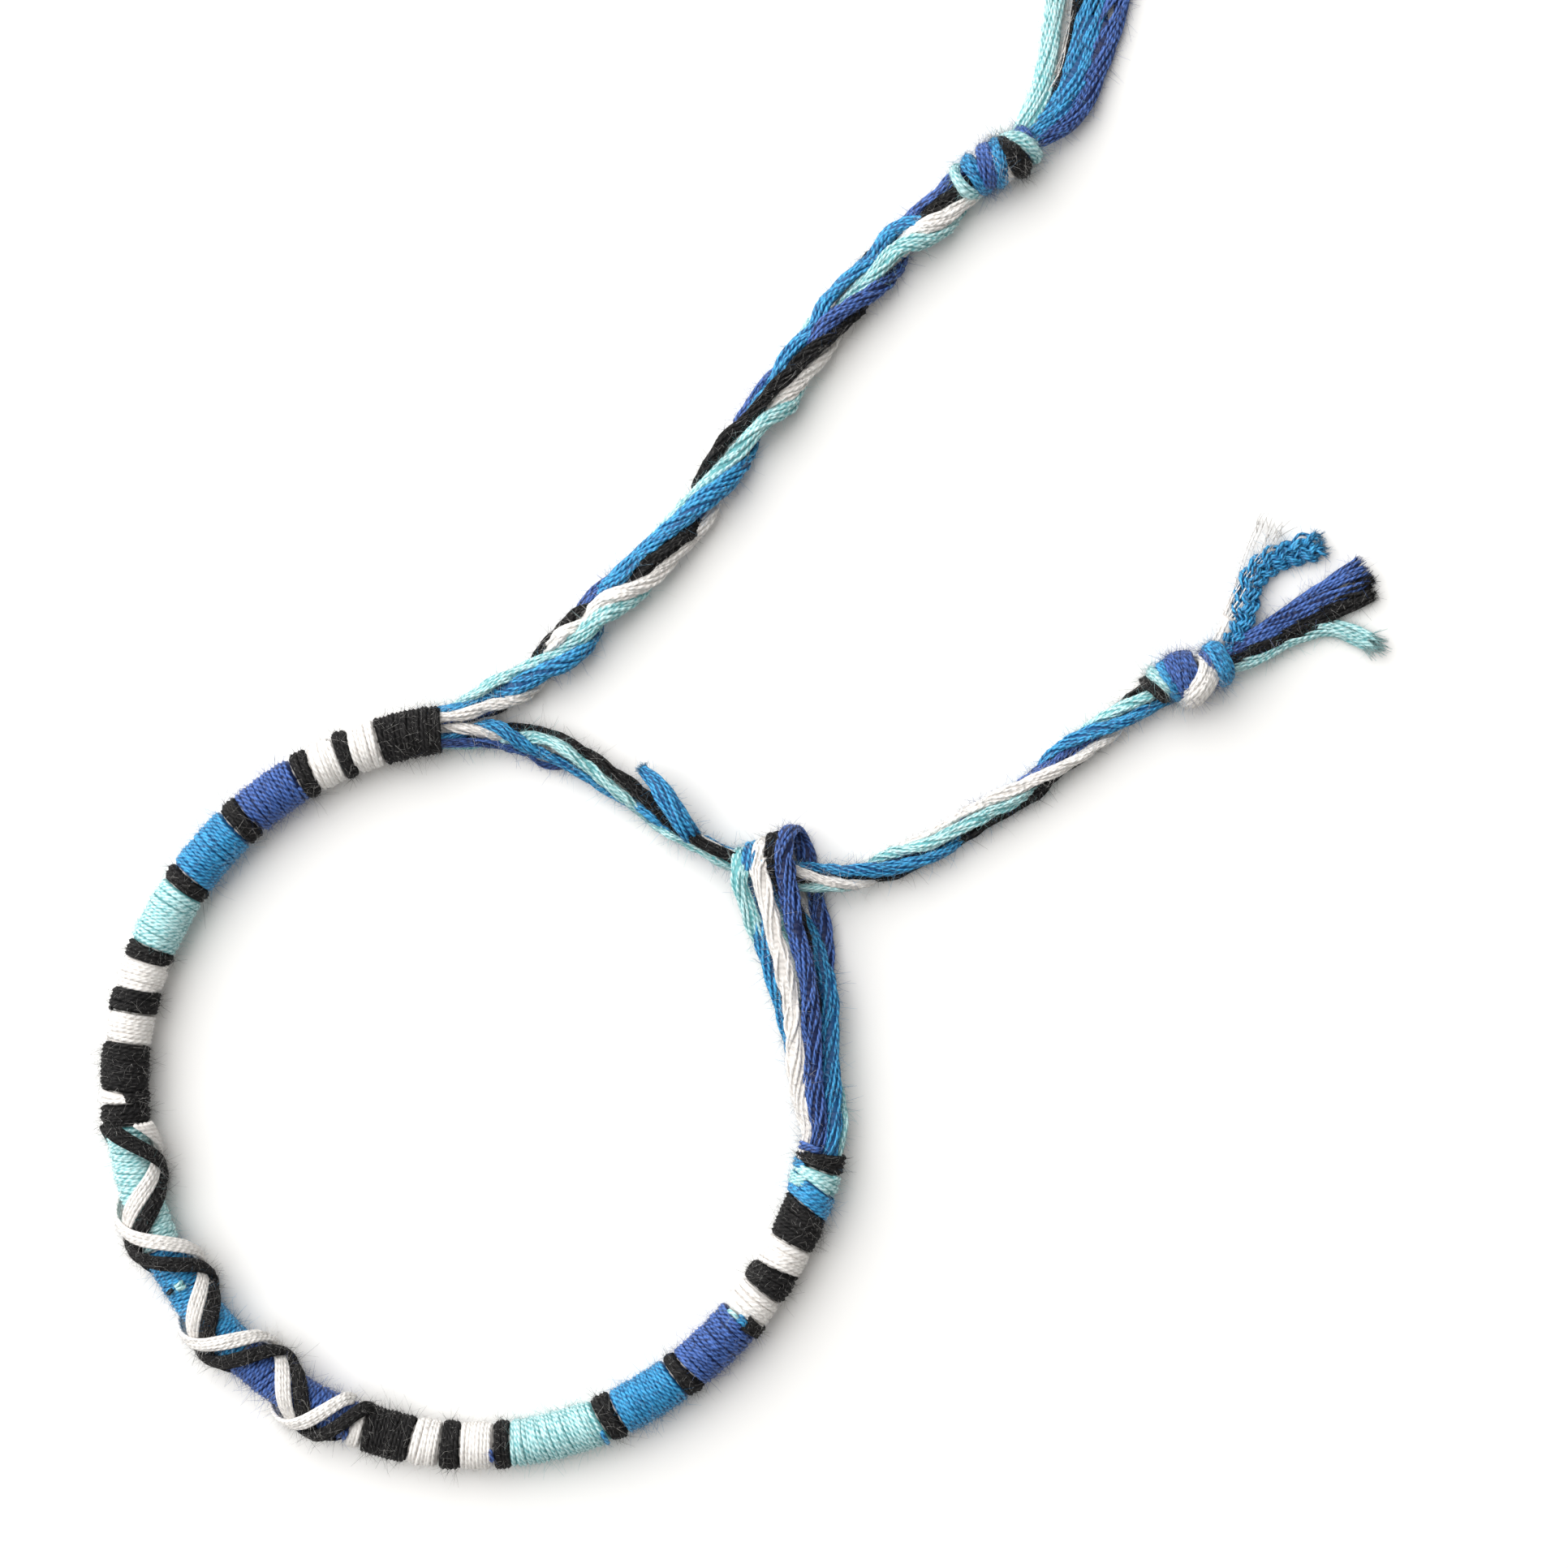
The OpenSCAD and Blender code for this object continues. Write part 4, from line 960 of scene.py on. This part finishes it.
# The loop's legs. Columns: colour, then for the front leg and for the back leg its rows of the share of
# the way from the mouth, how far left of the loop's line it lies and how far above its own height
LOOP_LEGS = [
    ["aqua", [[0, 0.8, -0.3], [0.37, 1.0, -0.7], [0.58, 2.3, -0.9], [0.8, 2.8, -0.7], [0.92, 2.75, -0.2],
              [1, 2.25, 0]],
     [[0, -1.6, 0.2], [0.15, -1.7, 0.2], [0.37, -1.3, -0.1], [0.6, -0.9, 0], [1, 1.2, 0]]],
    ["blue", [[0, 0.9, -0.4], [0.3, 1.5, -0.6], [0.45, 2.3, -0.5], [0.58, 3.0, -0.2], [0.8, 2.6, -0.5],
              [0.92, 1.9, -1.0], [1, 0.9, -1.2]],
     [[0, -1.0, 0.9], [0.15, -1.0, 0.9], [0.37, -1.5, 1.3], [0.58, -1.6, 1.5], [0.75, -1.5, 0.8],
      [1, 0.2, 0]]],
    ["white", [[0, 1.1, 0.8], [0.15, 1.8, 0.9], [0.37, 1.8, 0.8], [0.58, 2.0, 0.4], [0.8, 1.35, 0.3],
               [1, 0.25, 0.2]],
     [[0, -0.4, -0.6], [0.4, -0.5, -0.2], [0.8, -2.1, 0.1], [1, -1.4, 0]]],
    ["black", [[0, -0.1, 0.1], [0.37, -0.1, -0.4], [0.58, 0.2, -0.6], [0.8, -1.2, -0.7], [0.93, -1.25, -0.4],
               [1, -1.15, -0.1]],
     [[0, 0.5, -0.8], [0.4, 0.6, -0.6], [0.8, -1.2, -0.4], [1, -2.4, 0]]],
    ["navy", [[0, 0.2, 1.0], [0.15, 0.5, 1.2], [0.37, 0.15, 1.0], [0.58, 0.1, 0.6], [0.8, -0.75, 0.2],
              [1, -2.2, 0]],
     [[0, -0.9, -0.3], [0.37, -0.8, -0.3], [0.58, -1.7, 0.2], [0.8, -3.4, 0.5], [1, -4.4, 0]]],
]


def leg(rows, side_of_eye):
    """One leg of a floss, which runs from the mouth to above the eye or below it."""
    t = loop_s / loop_s[-1]
    drift = (0.6 + 0.4 * smooth(t / 0.15)) * (1 - smooth((t - 0.35) / 0.3))
    left = eased(t, rows, 1, loop_soften) + loop_left * drift
    level = eased(t, rows, 2, loop_soften)
    z = mix(ring_z, eye_z + side_of_eye * eye_half_h, smooth(t)) + level
    return loop_line + left_of(loop_line) * column(left) + UP * column(z)


def loop(name, front_rows, back_rows):
    """A floss of the loop: out along the front, round the top and back below."""
    front, back = leg(front_rows, 1), leg(back_rows, -1)
    a = np.radians(np.linspace(0, 180, turn_steps + 1)[1:-1])
    turn = mix(front[-1], back[-1], column(a / np.pi))
    turn = turn + direction(turn_heading) * column(turn_reach * np.sin(a))
    turn[:, 2] = eye_z + eye_half_h * np.cos(a)
    inward = direction(ARC_HEADING[-1]) * tuck_in
    path = np.concatenate([[front[0] - inward], front, turn, back[::-1], [back[0] - inward]])
    legs = left_of(loop_line)
    right = direction(turn_heading + 90)
    side = np.concatenate([legs[:1], legs, np.broadcast_to(right, turn.shape), legs[::-1], legs[:1]])
    r = mix(loop_mouth_share, 1, smooth(loop_s / loop_grow_len)) * loop_r
    r = np.concatenate([r[:1], r, np.full(len(turn), loop_r), r[::-1], r[:1]])
    threads = Threads(name)
    floss(threads, path, side, r * LOOP_WIDE[name], r, loop_strands)
    threads.piece("loop_%s_strands" % name, name, "loop_" + name)


for row in LOOP_LEGS:
    loop(*row)


# Knots and tassels. A knot's turns are drawn in from the CAD's outer form
knot_draw = 0.9
knot_steps = 36
knot_pitch, knot_strand_r = 0.24, 0.22
# How much lower the outer strands of a turn lie than its middle one
knot_crown = 0.45
# The layers of a turn, the hidden one first. Columns: depth, strands fewer, share of the width
KNOT_LAYERS = [[0.32, 1, 0.86], [0, 0, 1]]
knot_fuzz = 90
# The locks: points along one, its start inside the knot, its height where it lies as a share of its
# radius, and how much of the way up to the knot's middle each chosen point is
lock_steps = 44
lock_inside = 2.8
lock_level = 0.75
LOCK_RISE = (0.6, 0.15, 0, 0)
lock_twist = 34
lock_fuzz = 70
chain_pitch = 4.4
# Columns: strands' radius and looseness, length of fray, frayed fibres of each, share that has a filler
LOCK_STYLES = {"plain": (0.19, 0.05, 0.4, 7, 0.82), "chain": (0.18, 0.05, 0.5, 7, 0),
               "wisp": (0.19, 0.1, 1.6, 2, 0.4), "frayed": (0.19, 0.08, 1.6, 7, 0)}


def knot_turn(threads, centre, yaw, tilt, ring_radius, width):
    """A band of strands wound round the knot, in two layers."""
    a = np.linspace(0, 2 * np.pi, knot_steps + 1)
    axis = direction(yaw) * math.cos(math.radians(tilt)) + UP * math.sin(math.radians(tilt))
    x = unit(np.cross(UP, axis))
    y = np.cross(axis, x)
    strands = max(round(width / knot_pitch), 3)
    run = 3 * a
    for depth, fewer, spread in KNOT_LAYERS:
        count = strands - fewer
        for strand in range(count):
            share = (strand + 0.5) / count * 2 - 1
            r = ring_radius - knot_pitch - depth - knot_crown * share ** 2 + wander(run, 6, 0.05)
            sideways = share * spread * width / 2 * 0.85 + wander(run, 9, 0.09)
            line = centre + axis * column(sideways) + x * column(r * np.cos(a)) + y * column(r * np.sin(a))
            lift(line, knot_low)
            outward = unit(line - centre)
            threads.thread(line, knot_strand_r * (1 + wander(run, 5, 0.1)), outward)
            threads.fuzz(line + outward * 0.2, outward, 0 if depth else knot_fuzz)


def lock(threads, points, width0, width1, strands, style):
    """A loose end of floss. Its strands spread a little towards their cut ends."""
    strand_r, loose, fray, fibres, filled = LOCK_STYLES[style]
    line = evenly(points, lock_steps)
    s = lengths(line)
    t = s / s[-1]
    left = left_of(line)
    half_w = mix(width0, width1, smooth(t * 1.2)) / 2
    half_t = mix(min(width0, 1.6), min(width1, 1.1) * 0.8, t) / 2
    lift(line, half_t + 0.05)
    if filled:
        body = slice(0, int(lock_steps * filled))
        rings = oval_rings(line[body], left[body], np.broadcast_to(UP, line[body].shape),
                           half_w[body] - 0.15, half_t[body] - 0.1, filler_sides)
        lift(rings, filler_low)
        # The filler takes the grooves' colour: painted shade between the strands
        threads.skin(rings, PAINTED_SHADE_TINT)
    start = rng.uniform(0, 2 * np.pi)
    bundles = rng.uniform(-0.25, 0.25, 4)
    for strand in range(strands):
        turn = start + 2 * np.pi * (strand / strands + s / lock_twist) + wander(s, 14, 0.2)
        x = (half_w - strand_r) * np.cos(turn) + wander(s, 7, loose)
        y = (half_t - strand_r) * np.sin(turn) + wander(s, 7, loose)
        if style == "chain":
            phase = 2 * np.pi * (s / chain_pitch + strand % 3 / 3)
            x = (half_w - strand_r) * (0.52 * np.sin(phase) + 0.48 * np.cos(turn)) + wander(s, 6, 0.09)
            y = half_t * 0.7 * np.sin(2 * phase) + (half_t - strand_r) * 0.4 * np.sin(turn)
        if style == "wisp":
            x = x + (strand / strands - 0.5) * 1.6 * t ** 2
        x = x + bundles[strand % 4] * smooth((t - 0.72) / 0.28) * half_w
        path = line + left * column(x) + UP * column(y)
        lift(path, strand_r * 0.7)
        length = slice(0, lock_steps + 1 - rng.integers(0, 3))
        path = path[length]
        outward = unit(left[length] * column(np.cos(turn[length])) + UP * column(np.sin(turn[length])))
        radius = strand_r * (1 + wander(s[length], 5, 0.08))
        radius = radius * (1 - 0.3 * smooth((t[length] - 0.95) / 0.05))
        if style == "wisp":
            radius = radius * (1 - 0.8 * smooth(t[length] / 0.8))
        threads.thread(path, radius, outward)
        threads.fuzz(path + outward * strand_r * 0.8, outward, lock_fuzz)
        tip_fibres(threads, path, fibres, fray)


def knot_tassel(node, at, heading, turns, locks):
    """A knot and the locks of its tassel, in a piece for each colour."""
    start = at + UP * knot_w / 2
    end = start + direction(heading) * knot_len
    colours = {}
    for name, share, left_tilt, up_tilt, size, width, left in turns:
        centre = start + direction(heading) * knot_len * share + direction(heading + 90) * left
        knot_turn(colours.setdefault(name, Threads(name)), centre, heading + left_tilt, up_tilt,
                  knot_draw * size * knot_w / 2, width)
    ground = np.array([end[0], end[1], 0.0])
    for name, route, width0, width1, strands, style in locks:
        points = [end - direction(heading) * lock_inside]
        for share, rise in zip(route, LOCK_RISE):
            z = mix(lock_d / 2 * lock_level, knot_w / 2, rise)
            points.append(along(ground, heading, tassel_len, share) + UP * z)
        lock(colours.setdefault(name, Threads(name)), points, width0, width1, strands, style)
    for name, threads in colours.items():
        threads.piece("%s_%s" % (node, name), name, node)


knot_tassel("upper_knot_tassel", upper_knot_at, UPPER_KNOT_HEADING, UPPER_KNOT, UPPER_LOCKS)
knot_tassel("lower_knot_tassel", lower_knot_at, LOWER_KNOT_HEADING, LOWER_KNOT, LOWER_LOCKS)


# Floor, light and camera. Places and sizes of the floor and the lamps are in metres
floor_half = 3.0
FLOOR_COLOUR = (247, 246, 244)
lamp_aim = np.array([0.029, 0.029, 0])
WORLD_COLOUR = (1.0, 0.975, 0.93, 1)
world_strength = 0.17
# Middle and width of what the camera sees, in millimetres
VIEW_MIDDLE = (28.8, 29.2)
view_w = 148.6
lens, sensor_w = 100, 36


def floor():
    mesh = bpy.data.meshes.new("floor")
    corners = [(x * floor_half, y * floor_half, 0) for x, y in ((-1, -1), (1, -1), (1, 1), (-1, 1))]
    mesh.from_pydata(corners, [], [(0, 1, 2, 3)])
    material = bpy.data.materials.new("pale_floor")
    material.use_nodes = True
    surface = material.node_tree.nodes["Principled BSDF"].inputs
    surface["Base Color"].default_value = linear(FLOOR_COLOUR)
    surface["Roughness"].default_value = 0.9
    mesh.materials.append(material)
    add("floor", mesh)


def lamp(name, at, size, watts):
    """A square soft lamp that points at the object."""
    data = bpy.data.lights.new(name, "AREA")
    data.size = size
    data.energy = watts
    thing = add(name, data)
    thing.location = at
    thing.rotation_euler = Vector(lamp_aim - np.array(at)).to_track_quat("-Z", "Y").to_euler()


def studio_world():
    world = bpy.data.worlds.new("studio")
    world.use_nodes = True
    background = world.node_tree.nodes["Background"].inputs
    background["Color"].default_value = WORLD_COLOUR
    background["Strength"].default_value = world_strength
    bpy.context.scene.world = world
    bpy.context.scene.view_settings.view_transform = "Standard"


def camera():
    """A camera that looks straight down from where it sees the width of the view."""
    data = bpy.data.cameras.new("camera")
    data.lens = lens
    data.sensor_width = sensor_w
    data.clip_start = 0.01
    data.clip_end = 10
    thing = add("camera", data)
    thing.location = (VIEW_MIDDLE[0] * MM, VIEW_MIDDLE[1] * MM, view_w * lens / sensor_w * MM)
    bpy.context.scene.camera = thing


floor()
lamp("window", (-0.62, 0.5, 0.78), 1.8, 34)
lamp("fill", (0.25, -0.2, 1.1), 0.9, 1.5)
studio_world()
camera()
